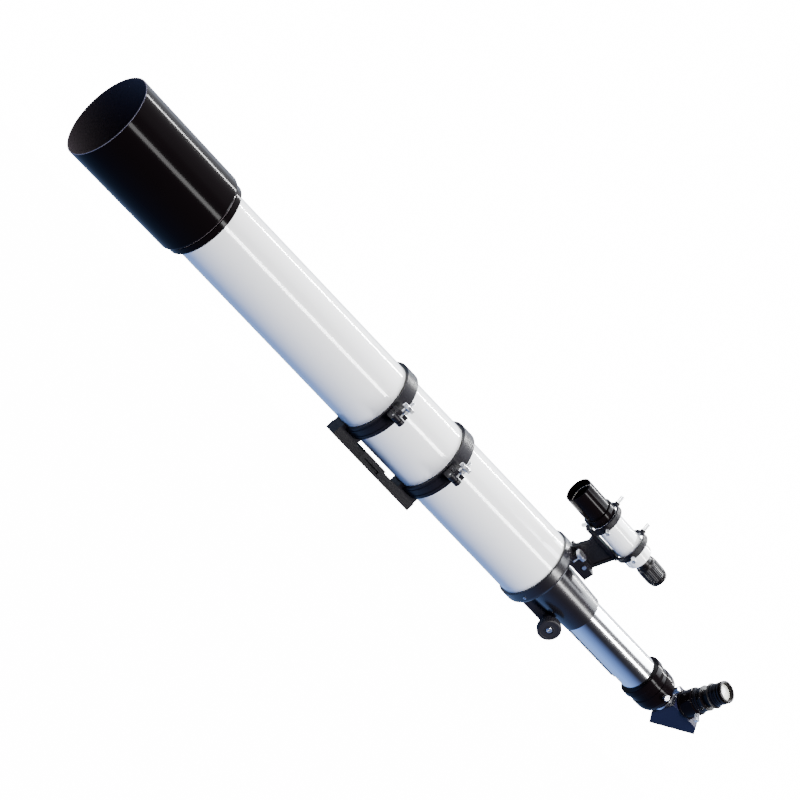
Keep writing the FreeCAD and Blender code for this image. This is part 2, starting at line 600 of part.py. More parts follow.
def make_objective():
    bar = rod("crown_bar", S.lens_radius, Size.of(60), (CROWN_FRONT - 20, 0, 0), "x")
    crown = common("crown", bar,
                   ball("crown_front_ball", S.crown_front_curve, CROWN_FRONT + S.crown_front_curve),
                   ball("crown_back_ball", S.inner_curve, CROWN_BACK - S.inner_curve))
    axis_node(crown, "objective_crown")
    bar = rod("flint_bar", S.lens_radius, Size.of(60), (FLINT_FRONT - 20, 0, 0), "x")
    backed = common("flint_backed", bar,
                    ball("flint_back_ball", S.flint_back_curve, FLINT_BACK - S.flint_back_curve))
    flint = cut("flint", backed, ball("flint_front_ball", S.inner_curve, FLINT_FRONT - S.inner_curve))
    axis_node(flint, "objective_flint")
    inner = S.lens_radius - S.spacer_width
    sag_in = (inner * inner) / (2 * S.inner_curve)
    lean = S.lens_radius * 0.0004
    clear = S.seat_clearance
    axis_node(turned("spacer", [
        (CROWN_BACK - INNER_SAG + clear - lean, S.lens_radius),
        (FLINT_FRONT - INNER_SAG - clear, S.lens_radius),
        (FLINT_FRONT - sag_in - clear, inner), (CROWN_BACK - sag_in + clear, inner)]), "lens_spacer")
    crown_edge = CROWN_FRONT + (S.lens_radius * S.lens_radius) / (2 * S.crown_front_curve)
    back = crown_edge - 0.15
    stop = S.lens_radius - S.retainer_lip
    axis_node(turned("retainer", [
        (S.cell_front + 0.2, stop + 1.8), (S.cell_front + 0.2, S.retainer_radius),
        (S.cell_front + S.retainer_length - 0.2, S.retainer_radius),
        (S.cell_front + S.retainer_length - 0.2, S.lens_radius), (back, S.lens_radius), (back, stop)]),
        "lens_retaining_ring")


def make_baffles():
    """Rings inside the tube whose openings narrow with the light cone."""
    baffles = []
    for number in range(3):
        station = S.tube_front + S.tube_length * (0.26 + 0.25 * number)
        opening = S.baffle_first_opening - number * S.baffle_narrowing
        baffles.append(cut("baffle_%d" % number,
                           rod("baffle_disc_%d" % number, S.tube_bore - S.seat_gap, S.baffle_thick,
                               (station, 0, 0), "x"),
                           rod("baffle_stop_%d" % number, opening, S.baffle_thick + 4,
                               (station - 2, 0, 0), "x")))
    axis_node(group("baffles", *baffles), "tube_baffles")


def make_dew_shield():
    back = S.cell_face - S.dew_flange_gap
    front = back - S.dew_length
    bore = S.cell_barrel_radius + S.dew_gap
    collar = back - S.dew_collar_length
    inner_back = S.dew_back_radius - S.dew_wall
    axis_node(turned("shield", [
        (front, S.dew_mouth_radius - S.dew_wall), (front, S.dew_mouth_radius - 0.5),
        (front + 0.5, S.dew_mouth_radius), (back - 4, S.dew_back_radius),
        (back - 1.6, S.dew_back_radius - 0.7), (back - 0.4, S.dew_back_radius - 2),
        (back, S.dew_back_radius - 3.6), (back, bore), (collar, bore),
        (collar, inner_back), (collar - 1, inner_back)]), "dew_shield")


# ---------------------------------------------------------------- focuser

def make_focuser_body():
    spigot = S.tube_bore - S.spigot_gap
    shell = turned("focuser_shell", [
        (S.tube_back - S.focuser_spigot, S.hollow_radius), (S.tube_back - S.focuser_spigot, spigot),
        (S.tube_back, spigot), (S.tube_back, S.flange_radius - 0.8), (S.tube_back + 0.8, S.flange_radius),
        (S.flange_back - 6, S.flange_radius), (S.flange_back - 3.4, S.flange_radius - 0.6),
        (S.flange_back - 1.4, S.flange_radius - 2), (S.flange_back - 0.3, S.flange_radius - 4.2),
        (S.flange_back, S.flange_radius - 6.6), (S.flange_back + 1, S.barrel_root_radius + 4.5),
        (S.flange_back + 2.2, S.barrel_root_radius + 1.8), (S.flange_back + 5, S.barrel_root_radius),
        (S.barrel_end - 0.6, S.barrel_end_radius), (S.barrel_end, S.barrel_end_radius - 0.6),
        (S.barrel_end, S.draw_bore - 3), (S.plate_front, S.draw_bore - 3),
        (S.plate_front, S.hollow_radius)])
    back = S.pinion_station + S.housing_back
    top = -S.barrel_end_radius + 6
    housing = slab("pinion_housing", [
        (S.plate_front + 8, -S.housing_depth), (back - 5, -S.housing_depth),
        (back - 1.5, -S.housing_depth + 1.5), (back, -S.housing_depth + 5), (back, top),
        (S.plate_front + 8, top)], 2 * S.housing_half_width)
    boss = rod("pinion_boss", S.boss_radius, 2 * S.boss_reach,
               (S.pinion_station, -S.boss_reach, -S.pinion_drop), "y")
    slot_half = S.rack_width / 2 + S.rack_slot_gap
    seat_half = S.shoe_half_width + S.seat_gap
    tools = [
        rod("draw_way", S.draw_bore, 2 * S.barrel_length, (S.plate_front - 1, 0, 0), "x"),
        block("rack_way", (S.plate_front - 2, -slot_half, -S.barrel_end_radius - 2),
              (S.barrel_end + 2, slot_half, -S.drawtube_radius + 4)),
        gear_way("pinion_way"),
        rod("shaft_way", S.shaft_radius + S.running_gap, 2 * S.boss_reach + 4,
            (S.pinion_station, -S.boss_reach - 2, -S.pinion_drop), "y"),
        block("shoe_seat", (S.shoe_front, -seat_half, S.shoe_bottom),
              (S.flange_back + 10, seat_half, S.shoe_bottom + 2 * S.shoe_height))]
    for number, (station, y) in enumerate(cover_screw_places()):
        tools.append(rod("cover_thread_%d" % number, S.cover_screw_radius + S.running_gap, Size.of(7),
                         (station, y, -S.housing_depth - 1), "z"))
    blank = fuse("focuser_blank", shell, housing, boss)
    axis_node(cut("focuser_casting", blank, *tools), "focuser_body")


def gear_way(name):
    """The room round the pinion, open towards the rack."""
    return rod(name, S.gear_way_radius, S.gear_width + 1,
               (S.pinion_station, (S.gear_width + 1) / -2, -S.pinion_drop), "y")


def cover_screw_places():
    stations = (S.flange_back + 6, S.pinion_station + S.housing_back - 10)
    return [(station, sign * S.cover_screw_offset) for station in stations for sign in (-1, 1)]


def make_pinion_cover():
    back = S.pinion_station + S.housing_back
    low = -S.housing_depth - S.housing_cover
    half = S.housing_half_width
    plate = block("cover_plate", (S.flange_back + 1, -half, low), (back - 5.5, half, -S.housing_depth))
    holes = []
    screws = []
    for number, (station, y) in enumerate(cover_screw_places()):
        holes.append(rod("cover_hole_%d" % number, S.cover_screw_radius + 0.1, S.housing_cover + 4,
                         (station, y, low - 1), "z"))
        head = rod("cover_head_%d" % number, S.cover_screw_radius + 1, Size.of(1.4),
                   (station, y, low - 1.4), "z")
        shank = rod("cover_shank_%d" % number, S.cover_screw_radius, S.housing_cover + 4,
                    (station, y, low), "z")
        screws.append(fuse("cover_screw_%d" % number, head, shank))
    axis_node(cut("cover", plate, gear_way("cover_way"), *holes), "pinion_cover")
    axis_node(group("cover_screws", *screws), "pinion_cover_screws")


def make_drawtube():
    inner = S.drawtube_radius - S.drawtube_wall
    axis_node(turned("draw", [(S.drawtube_front, inner), (S.drawtube_front, S.drawtube_radius),
                              (S.drawtube_back, S.drawtube_radius), (S.drawtube_back, inner)]), "drawtube")


def make_rack():
    """Straight-sided teeth; a tooth space faces the pinion's station at rest."""
    module = float(S.gear_module)
    pitch = math.pi * module
    line = float(S.rack_pitch_line)
    tip = float(S.rack_tip)
    root = line - float(S.gear_dedendum)
    slope = math.tan(math.radians(20))
    half_tooth = pitch / 4 - float(S.backlash) / 2
    first = math.ceil((float(S.rack_front) - float(S.pinion_station)) / pitch) + 1
    last = math.floor((float(S.rack_back) - float(S.pinion_station)) / pitch) - 1
    inside = float(S.drawtube_radius) - 3
    points = [Vector(float(S.rack_front), 0, -inside), Vector(float(S.rack_front), 0, -root)]
    for number in range(first, last):
        centre = float(S.pinion_station) + (number + 0.5) * pitch
        at_root = half_tooth + slope * (line - root)
        at_tip = half_tooth - slope * (tip - line)
        points += [Vector(centre - at_root, 0, -root), Vector(centre - at_tip, 0, -tip),
                   Vector(centre + at_tip, 0, -tip), Vector(centre + at_root, 0, -root)]
    points += [Vector(float(S.rack_back), 0, -root), Vector(float(S.rack_back), 0, -inside)]
    half_width = float(S.rack_width) / 2
    face = Part.Face(Part.makePolygon([p + Vector(0, -half_width, 0) for p in points + [points[0]]]))
    strip = face.extrude(Vector(0, 2 * half_width, 0))
    drum = Part.makeCylinder(float(S.drawtube_radius), float(S.drawtube_back), Vector(), X_AXIS)
    obj = doc.addObject("Part::Feature", "rack")
    obj.Shape = strip.cut(drum)
    axis_node(obj, "drawtube_rack")


def gear_outline(module, teeth, backlash, dedendum):
    """Involute teeth, with one tooth along +z."""

    def roll_to(radius):
        return math.sqrt(max((radius / base) ** 2 - 1, 0.0))

    def involute(radius):
        return roll_to(radius) - math.atan(roll_to(radius))

    pitch_radius = module * teeth / 2
    base = pitch_radius * math.cos(math.radians(20))
    tip = pitch_radius + 0.85 * module
    root = pitch_radius - dedendum
    half = (math.pi * module / 2 - backlash) / 2 / pitch_radius
    steps = [base + (tip - base) * n / 4 for n in range(5)]
    points = []
    for number in range(int(teeth)):
        centre = 2 * math.pi * number / teeth
        flank = [(radius, half + involute(pitch_radius) - involute(radius)) for radius in steps]
        edge = [(root, flank[0][1])] + flank
        for radius, angle in edge:
            points.append((centre - angle, radius))
        for radius, angle in reversed(edge):
            points.append((centre + angle, radius))
    return [(radius * math.sin(angle), radius * math.cos(angle)) for angle, radius in points]


def make_pinion():
    corners = gear_outline(float(S.gear_module), float(S.pinion_teeth), float(S.backlash),
                           float(S.gear_dedendum))
    half_width = float(S.gear_width) / 2
    station = float(S.pinion_station)
    drop = float(S.pinion_drop)
    points = [Vector(station + x, -half_width, -drop + z) for x, z in corners]
    gear = Part.Face(Part.makePolygon(points + [points[0]])).extrude(Vector(0, 2 * half_width, 0))
    reach = float(S.knob_reach) - 3
    shaft = Part.makeCylinder(float(S.shaft_radius), 2 * reach, Vector(station, -reach, -drop),
                              Vector(0, 1, 0))
    obj = doc.addObject("Part::Feature", "pinion")
    obj.Shape = gear.fuse(shaft).removeSplitter()
    axis_node(obj, "pinion_shaft")


def make_focus_knobs():
    reach = S.knob_reach
    for side, sign in (("left", -1), ("right", 1)):
        inner = reach - S.knob_width
        bore = S.shaft_radius + S.seat_gap
        body = turned(side + "_knob", [
            (inner, bore), (inner, S.knob_hub_radius), (inner + 2.5, S.knob_hub_radius),
            (inner + 3, S.knob_radius - 1), (inner + 4, S.knob_radius), (reach - 1.2, S.knob_radius),
            (reach, S.knob_radius - 1.2), (reach, Size.of(6)), (reach - 3, Size.of(5.5)), (reach - 3, bore)])
        turn = Rotation(X_AXIS, Vector(0, sign, 0))
        local = Placement(Vector(float(S.pinion_station), 0, -float(S.pinion_drop)), turn)
        node(body, "focus_knob_" + side, on_axis(S.tube_roll) * local)
    screws = []
    for side, sign in (("left", -1), ("right", 1)):
        start = -reach + 0.2 if sign < 0 else reach - 3
        screws.append(rod("knob_screw_" + side, Size.of(4.4), Size.of(2.8),
                          (S.pinion_station, start, -S.pinion_drop), "y"))
    axis_node(group("knob_screws", *screws), "focus_knob_screws")


# ---------------------------------------------------------------- drawtube end, diagonal and eyepiece

def thumbscrew(label, tip, seat, end, shank, head, placement):
    """A screw whose shank starts at one radius and whose knurled head stands outside another."""
    node(turned(label + "_turned", [
        (tip, Size.of(0)), (tip, shank - 0.4), (tip + 0.4, shank), (seat, shank), (seat, head * 0.62),
        (seat + 1.2, head * 0.62), (seat + 1.6, head - 0.4), (seat + 2, head), (end - 0.5, head),
        (end, head - 0.5), (end, Size.of(0))]), label, placement)


def make_drawtube_end():
    lip_end = S.collar_front + S.collar_lip_length
    waist = lip_end + 9.5
    collar = turned("collar_turned", [
        (S.collar_front, S.drawtube_radius + S.seat_gap), (S.collar_front, S.collar_lip_radius - 0.8),
        (S.collar_front + 0.8, S.collar_lip_radius), (lip_end - 0.8, S.collar_lip_radius),
        (lip_end, S.collar_lip_radius - 0.8), (lip_end + 1, S.collar_radius - 0.2),
        (waist - 4, S.collar_radius - 0.4), (waist - 3, S.collar_radius - 1.4),
        (waist + 3, S.collar_radius - 1.4), (waist + 4, S.collar_radius),
        (S.collar_back - 11, S.collar_radius - 0.4),
        (S.collar_back - 6, S.collar_radius - 1.2), (S.collar_back - 2, S.collar_end_radius + 0.6),
        (S.collar_back, S.collar_end_radius - 0.6), (S.collar_back, S.adapter_radius + S.seat_gap),
        (S.drawtube_back, S.adapter_radius + S.seat_gap), (S.drawtube_back, S.drawtube_radius + S.seat_gap)])
    station = S.collar_back - S.collar_screw_inset
    holes = []
    for side, half_turn in (("near", 0.0), ("far", 180.0)):
        angle = float(S.collar_screw_angle) + half_turn
        hole = doc.addObject("Part::Cylinder", "collar_hole_" + side)
        bind(hole, "Radius", S.thumb_shank_radius + S.running_gap)
        bind(hole, "Height", 20)
        start = Vector(float(S.adapter_radius) - 5, 0, 0)
        hole.Placement = pointing(angle, station) * Placement(start, TURN["x"])
        holes.append(hole)
        thumbscrew("collar_thumbscrew_" + side, S.adapter_radius + 0.1, S.collar_radius + 0.3,
                   S.collar_radius + 9, S.thumb_shank_radius, Size.of(4.5),
                   on_axis(S.tube_roll) * pointing(angle, station))
    axis_node(cut("collar", collar, *holes), "drawtube_collar")

    bore = S.eyepiece_barrel_radius + S.running_gap
    adapter = turned("adapter_turned", [
        (S.drawtube_back + 0.2, bore), (S.drawtube_back + 0.2, S.adapter_radius),
        (S.collar_back, S.adapter_radius), (S.collar_back + 0.4, S.adapter_radius - 0.4),
        (S.collar_back + 0.4, S.adapter_neck_radius), (S.adapter_back - 0.6, S.adapter_neck_radius),
        (S.adapter_back, S.adapter_neck_radius - 0.6), (S.adapter_back, bore)])
    station = S.adapter_back - 3
    hole = doc.addObject("Part::Cylinder", "adapter_hole")
    bind(hole, "Radius", S.thumb_shank_radius + S.running_gap)
    bind(hole, "Height", 20)
    hole.Placement = pointing(S.adapter_screw_angle, station) * Placement(
        Vector(float(S.eyepiece_barrel_radius) - 3, 0, 0), TURN["x"])
    axis_node(cut("adapter", adapter, hole), "diagonal_adapter")
    thumbscrew("adapter_thumbscrew", S.eyepiece_barrel_radius + 0.1, S.adapter_neck_radius + 0.3,
               S.adapter_neck_radius + 12, S.thumb_shank_radius, Size.of(3.6),
               on_axis(S.tube_roll) * pointing(S.adapter_screw_angle, station))


def diagonal_node(obj, label):
    return axis_node(obj, label, S.diagonal_roll, S.diagonal_station)


def corner_block(front, top, depth, low_end, high_end):
    """Outline of a corner block: two square faces and a 45 degree back set behind the axes' crossing.

    The ends of the back are cut square to it, at low_end and high_end from the crossing (times root two).
    """
    return [(-front, top), (high_end - top, top), ((high_end + depth) / 2, (high_end - depth) / 2),
            ((depth - low_end) / 2, (-low_end - depth) / 2), (-front, front - low_end)]


def make_diagonal():
    plate_depth = S.housing_back_depth - S.back_plate_thick * math.sqrt(2)
    low_end = S.housing_low_end
    high_end = S.housing_high_end
    shell = slab("diagonal_shell",
                 corner_block(S.housing_front, S.housing_top, plate_depth, low_end, high_end),
                 S.diagonal_width)
    leg = S.prism_leg + S.prism_gap
    cavity = slab("diagonal_cavity", corner_block(leg, leg, plate_depth + 1, 2 * leg, 2 * leg + 6),
                  S.diagonal_width - 2 * S.diagonal_wall)
    ways = [rod("nose_way", S.light_radius, S.housing_front + 13, (-S.housing_front - 5, 0, 0), "x"),
            rod("holder_way", S.light_radius, S.housing_top + 5, (0, 0, 0), "z")]
    diagonal_node(cut("diagonal_casting", shell, cavity, *ways), "diagonal_housing")
    leg = S.prism_leg
    diagonal_node(slab("prism", [(-leg, leg), (leg, leg), (-leg, -leg)],
                       S.diagonal_width - 2 * (S.diagonal_wall + S.prism_gap)), "diagonal_prism")
    depths = (plate_depth + S.seat_gap, S.housing_back_depth)
    high = [((high_end + d) / 2, (high_end - d) / 2) for d in depths]
    low = [((d - low_end) / 2, (-low_end - d) / 2) for d in reversed(depths)]
    diagonal_node(slab("plate", high + low, S.diagonal_width), "diagonal_back_plate")
    bore = S.light_radius
    outer = S.eyepiece_barrel_radius
    face = -S.housing_front
    diagonal_node(turned("nose", [
        (face - S.nose_length, bore), (face - S.nose_length, outer - 0.5),
        (face - S.nose_length + 0.5, outer),
        (face - S.nose_flange, outer), (face - S.nose_flange, outer + S.nose_flange_step),
        (face - S.seat_gap, outer + S.nose_flange_step), (face - S.seat_gap, bore)]), "diagonal_nosepiece")
    upwards = Placement(Vector(), Rotation(X_AXIS, Vector(0, 0, 1)))
    along = on_axis(S.diagonal_roll, S.diagonal_station) * upwards
    make_holder(along)
    make_eyepiece(along)


def make_holder(along):
    """The eyepiece holder and its screw, on the axis that the frame's x runs along."""
    outer = S.eyepiece_barrel_radius
    bore = outer + S.running_gap
    top = S.holder_top
    base = S.housing_top + S.seat_gap
    holder = turned("holder_turned", [
        (base, bore), (base, S.holder_lip_radius), (base + 3, S.holder_lip_radius),
        (base + 3.6, S.holder_radius), (top - 1, S.holder_radius), (top, S.holder_radius - 1), (top, bore)])
    screw_at = Vector(float(top - S.holder_screw_inset), 0, 0)
    hole = rod("holder_hole", S.thumb_shank_radius + S.running_gap, S.holder_radius + 2, (0, 0, 0), "z")
    hole.Placement = Placement(screw_at, Rotation(Vector(0, 0, 1), Vector(0, -1, 0)))
    screw_turn = Placement(Vector(), Rotation(X_AXIS, float(S.holder_screw_angle)))
    node(cut("holder", holder, hole), "eyepiece_holder", along * screw_turn)
    aim = along * screw_turn * Placement(screw_at, Rotation(X_AXIS, Vector(0, -1, 0)))
    thumbscrew("holder_thumbscrew", outer + 0.1, S.holder_radius + 0.3, S.holder_radius + 11,
               S.thumb_shank_radius, Size.of(3.6), aim)


def make_eyepiece(along):
    """The eyepiece's barrel, body and lenses. The body's outline swells at the grip and at the eye end."""
    outer = S.eyepiece_barrel_radius
    base = S.housing_top + S.seat_gap
    end = S.eyepiece_top
    shoulder = S.holder_top + 0.3
    inner = S.light_radius
    node(turned("barrel_turned", [
        (base + 0.8, inner), (base + 0.8, outer - 0.5), (base + 1.3, outer), (shoulder, outer),
        (shoulder, inner)]),
        "eyepiece_barrel", along)
    grip = [(0.0, 1.9), (0.8, 2.4), (4.0, 2.3), (7.0, 1.8), (9.0, 1.8), (12.0, 2.4), (15.0, 2.9),
            (27.6, 2.9), (28.6, 0.9), (33.0, 0.6), (35.5, 0.2), (38.5, 0.5)]
    opening = outer - 3.7
    node(turned("eyepiece_turned", [(shoulder + S.seat_gap, inner)]
                + [(shoulder + S.seat_gap + along_x, outer + swell) for along_x, swell in grip]
                + [(end - 3, outer + 0.8), (end - 1, outer + 0.3), (end, outer - 0.9), (end, outer - 2.3),
                   (end - 4, opening), (end - 9, opening), (end - 9, opening - 1.2)]),
         "eyepiece_body", along)
    glass = common("eye_glass", rod("eye_glass_bar", opening - 0.1, Size.of(6), (end - 9, 0, 0), "x"),
                   ball("eye_glass_ball", Size.of(40), end - 4.2 - 40))
    node(glass, "eyepiece_eye_lens", along)
    node(turned("field_turned", [
        (base + 2, Size.of(0)), (base + 2, inner - S.seat_gap), (base + 5, inner - S.seat_gap),
        (base + 6.5, inner / 2), (base + 7, Size.of(0))]), "eyepiece_field_lens", along)


# ---------------------------------------------------------------- finder and its shoe

def make_finder_shoe():
    side = S.shoe_half_width
    top = S.shoe_top
    floor = S.shoe_top - S.dovetail_depth
    mouth = S.dovetail_top
    deep = S.dovetail_top + S.dovetail_slope
    shoe = rail("shoe_rail", [
        (-side, S.shoe_bottom), (side, S.shoe_bottom), (side, top), (mouth, top), (deep, floor),
        (-deep, floor), (-mouth, top), (-side, top)], S.shoe_front, S.shoe_back - S.shoe_front)
    bore = rod("lock_way", S.thumb_shank_radius + S.running_gap, Size.of(12),
               (S.lock_station, -S.lock_offset, top - 10), "z")
    station = S.shoe_back - 18
    height = top - 2.4
    length = Size.of(4.5)
    head = Size.of(2)
    grips = []
    screws = []
    for tag, sign in (("near", -1), ("far", 1)):
        shank_at = -side if sign < 0 else side - length
        head_at = -side - head if sign < 0 else side
        grips.append(rod("grip_way_" + tag, Size.of(1.55), length + 2,
                         (station, shank_at - 1, height), "y"))
        screws.append(fuse("grip_" + tag,
                           rod("grip_shank_" + tag, Size.of(1.5), length, (station, shank_at, height), "y"),
                           rod("grip_head_" + tag, Size.of(3.1), head, (station, head_at, height), "y")))
    axis_node(cut("shoe", shoe, bore, *grips), "finder_shoe")
    axis_node(group("shoe_screws", *screws), "finder_shoe_screws")
    local = Placement(Vector(float(S.lock_station), -float(S.lock_offset), 0),
                      Rotation(X_AXIS, Vector(0, 0, 1)))
    head = top + 1.5
    node(turned("lock_turned", [
        (top - 9, Size.of(0)), (top - 9, S.thumb_shank_radius), (top + 0.3, S.thumb_shank_radius),
        (top + 0.3, Size.of(4)), (head, Size.of(4)), (head, S.lock_head_radius - 0.6),
        (head + 0.6, S.lock_head_radius), (head + S.lock_head_height - 0.6, S.lock_head_radius),
        (head + S.lock_head_height, S.lock_head_radius - 0.6), (head + S.lock_head_height, Size.of(0))]),
        "finder_lock_screw", on_axis(S.tube_roll) * local)


SCREW_ANGLES = {"side": 120.0, "top": 0.0, "under": 240.0}


def make_finder_bracket():
    centre = S.finder_height
    gap = S.dovetail_gap
    top = S.shoe_top
    floor = top - S.dovetail_depth + gap
    mouth = S.dovetail_top - gap * 1.1
    deep = S.dovetail_top + S.dovetail_slope - gap * 1.5
    foot_front = S.shoe_front + S.foot_setback
    foot = rail("bracket_foot", [(-deep, floor), (deep, floor), (mouth, top), (mouth, top + 1.2),
                                 (-mouth, top + 1.2), (-mouth, top)], foot_front, S.stem_back - foot_front)
    spine_top = centre - S.hoop_bore - 0.6
    spine_low = spine_top - S.spine_depth
    front = S.hoop_front - S.hoop_width / 2
    back = S.hoop_back + S.hoop_width / 2
    stem = slab("bracket_stem", [
        (S.stem_front, top + 0.6), (S.stem_back, top + 0.6), (S.stem_back + 9, spine_low + 0.5),
        (back, spine_low + 3), (back, spine_top), (front, spine_top), (front, spine_low + 3),
        (S.stem_front + 3.5, spine_low + 0.5), (S.stem_front + 8, spine_low - 10)], S.stem_thick)
    rib = S.stem_rib
    pocket_outline = [
        (S.stem_front + rib + 1, top + 5.5), (S.stem_back - rib, top + 5.5),
        (S.stem_back + 3.5, spine_low - 0.5), (S.stem_front + rib + 6, spine_low - 0.5),
        (S.stem_front + rib + 8.5, spine_low - 10)]
    web = S.stem_thick - 2 * S.stem_recess
    pocket_block = slab("stem_pocket_block", pocket_outline, S.stem_thick + 4)
    web_block = slab("stem_web_block", pocket_outline, web)
    pocket = cut("stem_pocket", pocket_block, web_block)
    spine = block("bracket_spine", (front, -S.spine_width / 2, spine_low),
                  (back, S.spine_width / 2, spine_top))
    rings = []
    ways = []
    for tag, station in (("front", S.hoop_front), ("rear", S.hoop_back)):
        rings.append(rod(tag + "_hoop", S.hoop_radius, S.hoop_width,
                         (station - S.hoop_width / 2, 0, centre), "x"))
        ways.append(rod(tag + "_hoop_bore", S.hoop_bore, S.hoop_width + 20,
                        (station - S.hoop_width / 2 - 10, 0, centre), "x"))
        for place_name, turn in SCREW_ANGLES.items():
            angle = float(S.screw_first_angle) + turn
            frame = pointing(angle, station, centre)
            boss = doc.addObject("Part::Cylinder", "%s_%s_boss" % (tag, place_name))
            bind(boss, "Radius", S.hoop_boss_radius)
            bind(boss, "Height", S.hoop_band + S.hoop_boss_rise - 0.4)
            boss.Placement = frame * Placement(Vector(float(S.hoop_bore) + 0.4, 0, 0), TURN["x"])
            rings.append(boss)
            hole = doc.addObject("Part::Cylinder", "%s_%s_hole" % (tag, place_name))
            bind(hole, "Radius", S.screw_shank_radius + S.running_gap)
            bind(hole, "Height", 12)
            hole.Placement = frame * Placement(Vector(float(S.hoop_bore) - 3.6, 0, 0), TURN["x"])
            ways.append(hole)
            drop = math.tan(math.radians(float(S.finder_tilt))) * (float(station) - float(S.hoop_front))
            reach = S.finder_tube_radius + S.screw_point_gap - drop * math.cos(math.radians(angle))
            seat = S.hoop_radius + S.hoop_boss_rise + 1.5
            thumbscrew("finder_%s_%s_screw" % (tag, place_name), reach, seat, seat + S.screw_head_length,
                       S.screw_shank_radius, S.screw_head_radius, on_axis(S.tube_roll) * frame)
    solid = fuse("bracket_blank", foot, cut("stem_panelled", stem, pocket), spine, *rings)
    axis_node(cut("bracket", solid, *ways), "finder_bracket")


def finder_node(obj, label):
    """A sub-part on the finder's own axis, which its screws have tipped about the front hoop."""
    centre = Vector(float(S.hoop_front), 0, 0)
    tilt = Placement(Vector(0, 0, float(S.finder_height)),
                     Rotation(Vector(0, 1, 0), float(S.finder_tilt)), centre)
    return node(obj, label, on_axis(S.tube_roll) * tilt)


def make_finder():
    inner = S.finder_tube_radius - S.finder_tube_wall
    back = S.finder_tube_back
    finder_node(turned("finder_tube_turned", [
        (S.finder_tube_front, inner), (S.finder_tube_front, S.finder_tube_radius),
        (back - 2.5, S.finder_tube_radius), (back - 0.8, S.finder_tube_radius - 0.8),
        (back, S.finder_tube_radius - 2.5), (back, S.finder_neck_radius + S.running_gap),
        (back - 12, S.finder_neck_radius + S.running_gap), (back - 12, inner)]), "finder_tube")
    hood_inner = S.hood_radius - S.hood_wall
    socket = S.finder_tube_radius + S.seat_gap
    finder_node(turned("hood_turned", [
        (S.hood_front, hood_inner), (S.hood_front, S.hood_radius - 0.4),
        (S.hood_front + 0.4, S.hood_radius),
        (S.hood_back - 8.8, S.hood_radius), (S.hood_back - 8, S.hood_radius + S.hood_band),
        (S.hood_back - 1, S.hood_radius + S.hood_band), (S.hood_back, S.hood_radius + 1),
        (S.hood_back, socket), (S.finder_tube_front - S.seat_gap, socket),
        (S.finder_tube_front - S.seat_gap, hood_inner)]), "finder_hood")
    glass = common("finder_glass",
                   rod("finder_glass_bar", inner - S.seat_gap, Size.of(10),
                       (S.finder_tube_front + 1, 0, 0), "x"),
                   ball("finder_glass_front", Size.of(90), S.finder_tube_front + 2 + 90),
                   ball("finder_glass_back", Size.of(110), S.finder_tube_front + 9 - 110))
    finder_node(glass, "finder_objective")
    end = S.finder_eyepiece_end
    neck = S.finder_neck_radius
    finder_node(turned("finder_eyepiece_turned", [
        (back - 10, neck - 1.5), (back - 10, neck), (back + 9.4, neck),
        (back + 10, S.finder_eyepiece_radius - 1.4),
        (back + 13, S.finder_eyepiece_radius - 0.6), (back + 20, S.finder_eyepiece_radius),
        (end - 10, S.finder_eyepiece_radius - 0.3), (end - 6, S.finder_eyepiece_radius - 0.9),
        (end - 1.6, S.finder_eyepiece_radius - 2), (end, S.finder_eyepiece_radius - 3.4), (end, neck - 2),
        (end - 2.5, neck - 2.8), (end - 7, neck - 2.8), (end - 7, neck - 1.5)]), "finder_eyepiece")
    glass = common("finder_eye_glass", rod("finder_eye_bar", neck - 2.85, Size.of(5), (end - 7, 0, 0), "x"),
                   ball("finder_eye_ball", Size.of(40), end - 3 - 40))
    finder_node(glass, "finder_eye_lens")


# ---------------------------------------------------------------- build and write

def build():
    make_mounting_bar()
    for ring, station in RING_STATIONS.items():
        make_ring(ring, station)
        make_swing_bolt(ring, station)
    make_ring_linings()
    make_ring_pins()
    make_ring_foot_bolts()
    make_main_tube()
    make_lens_cell()
    make_objective()
    make_baffles()
    make_dew_shield()
    make_focuser_body()
    make_pinion_cover()
    make_drawtube()
    make_rack()
    make_pinion()
    make_focus_knobs()
    make_drawtube_end()
    make_diagonal()
    make_finder_shoe()
    make_finder_bracket()
    make_finder()


def write_parts():
    doc.recompute()
    failed = [obj.Name for obj in doc.Objects if set(obj.State) & {"Invalid", "Error"}]
    if failed:
        raise RuntimeError("features that failed: " + ", ".join(failed))
    for obj in NODES:
        shape = obj.Shape
        if shape.isNull() or not shape.isValid() or not shape.Solids:
            raise RuntimeError("bad shape: " + obj.Label)
    os.makedirs("parts", exist_ok=True)
    for obj in NODES:
        obj.Shape.exportStep(os.path.join("parts", obj.Label + ".step"))
        print("%-28s %2d solids %12.1f mm3" % (obj.Label, len(obj.Shape.Solids), obj.Shape.Volume))
    print(len(NODES), "nodes")


build()
write_parts()
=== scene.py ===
"""Looks of a refractor telescope tube: its finishes, turned and knurled pieces, and a plain studio."""

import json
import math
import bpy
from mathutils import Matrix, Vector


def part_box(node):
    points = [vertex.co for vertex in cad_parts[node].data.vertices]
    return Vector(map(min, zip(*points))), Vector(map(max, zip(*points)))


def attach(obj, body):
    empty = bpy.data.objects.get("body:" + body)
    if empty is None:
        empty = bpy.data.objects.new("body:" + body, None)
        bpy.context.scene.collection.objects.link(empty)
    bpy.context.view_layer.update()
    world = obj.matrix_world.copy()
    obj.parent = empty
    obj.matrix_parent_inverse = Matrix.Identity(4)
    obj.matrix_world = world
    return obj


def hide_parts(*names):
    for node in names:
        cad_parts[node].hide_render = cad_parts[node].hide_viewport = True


bl_info = {
    "name": "Refractor Telescope",
    "version": (1, 0, 0),
    "blender": (4, 5, 0),
    "location": "3D View > Sidebar > Telescope",
    "description": "Finishes and fine pieces of a refractor telescope around its packed frame",
    "category": "Object",
}

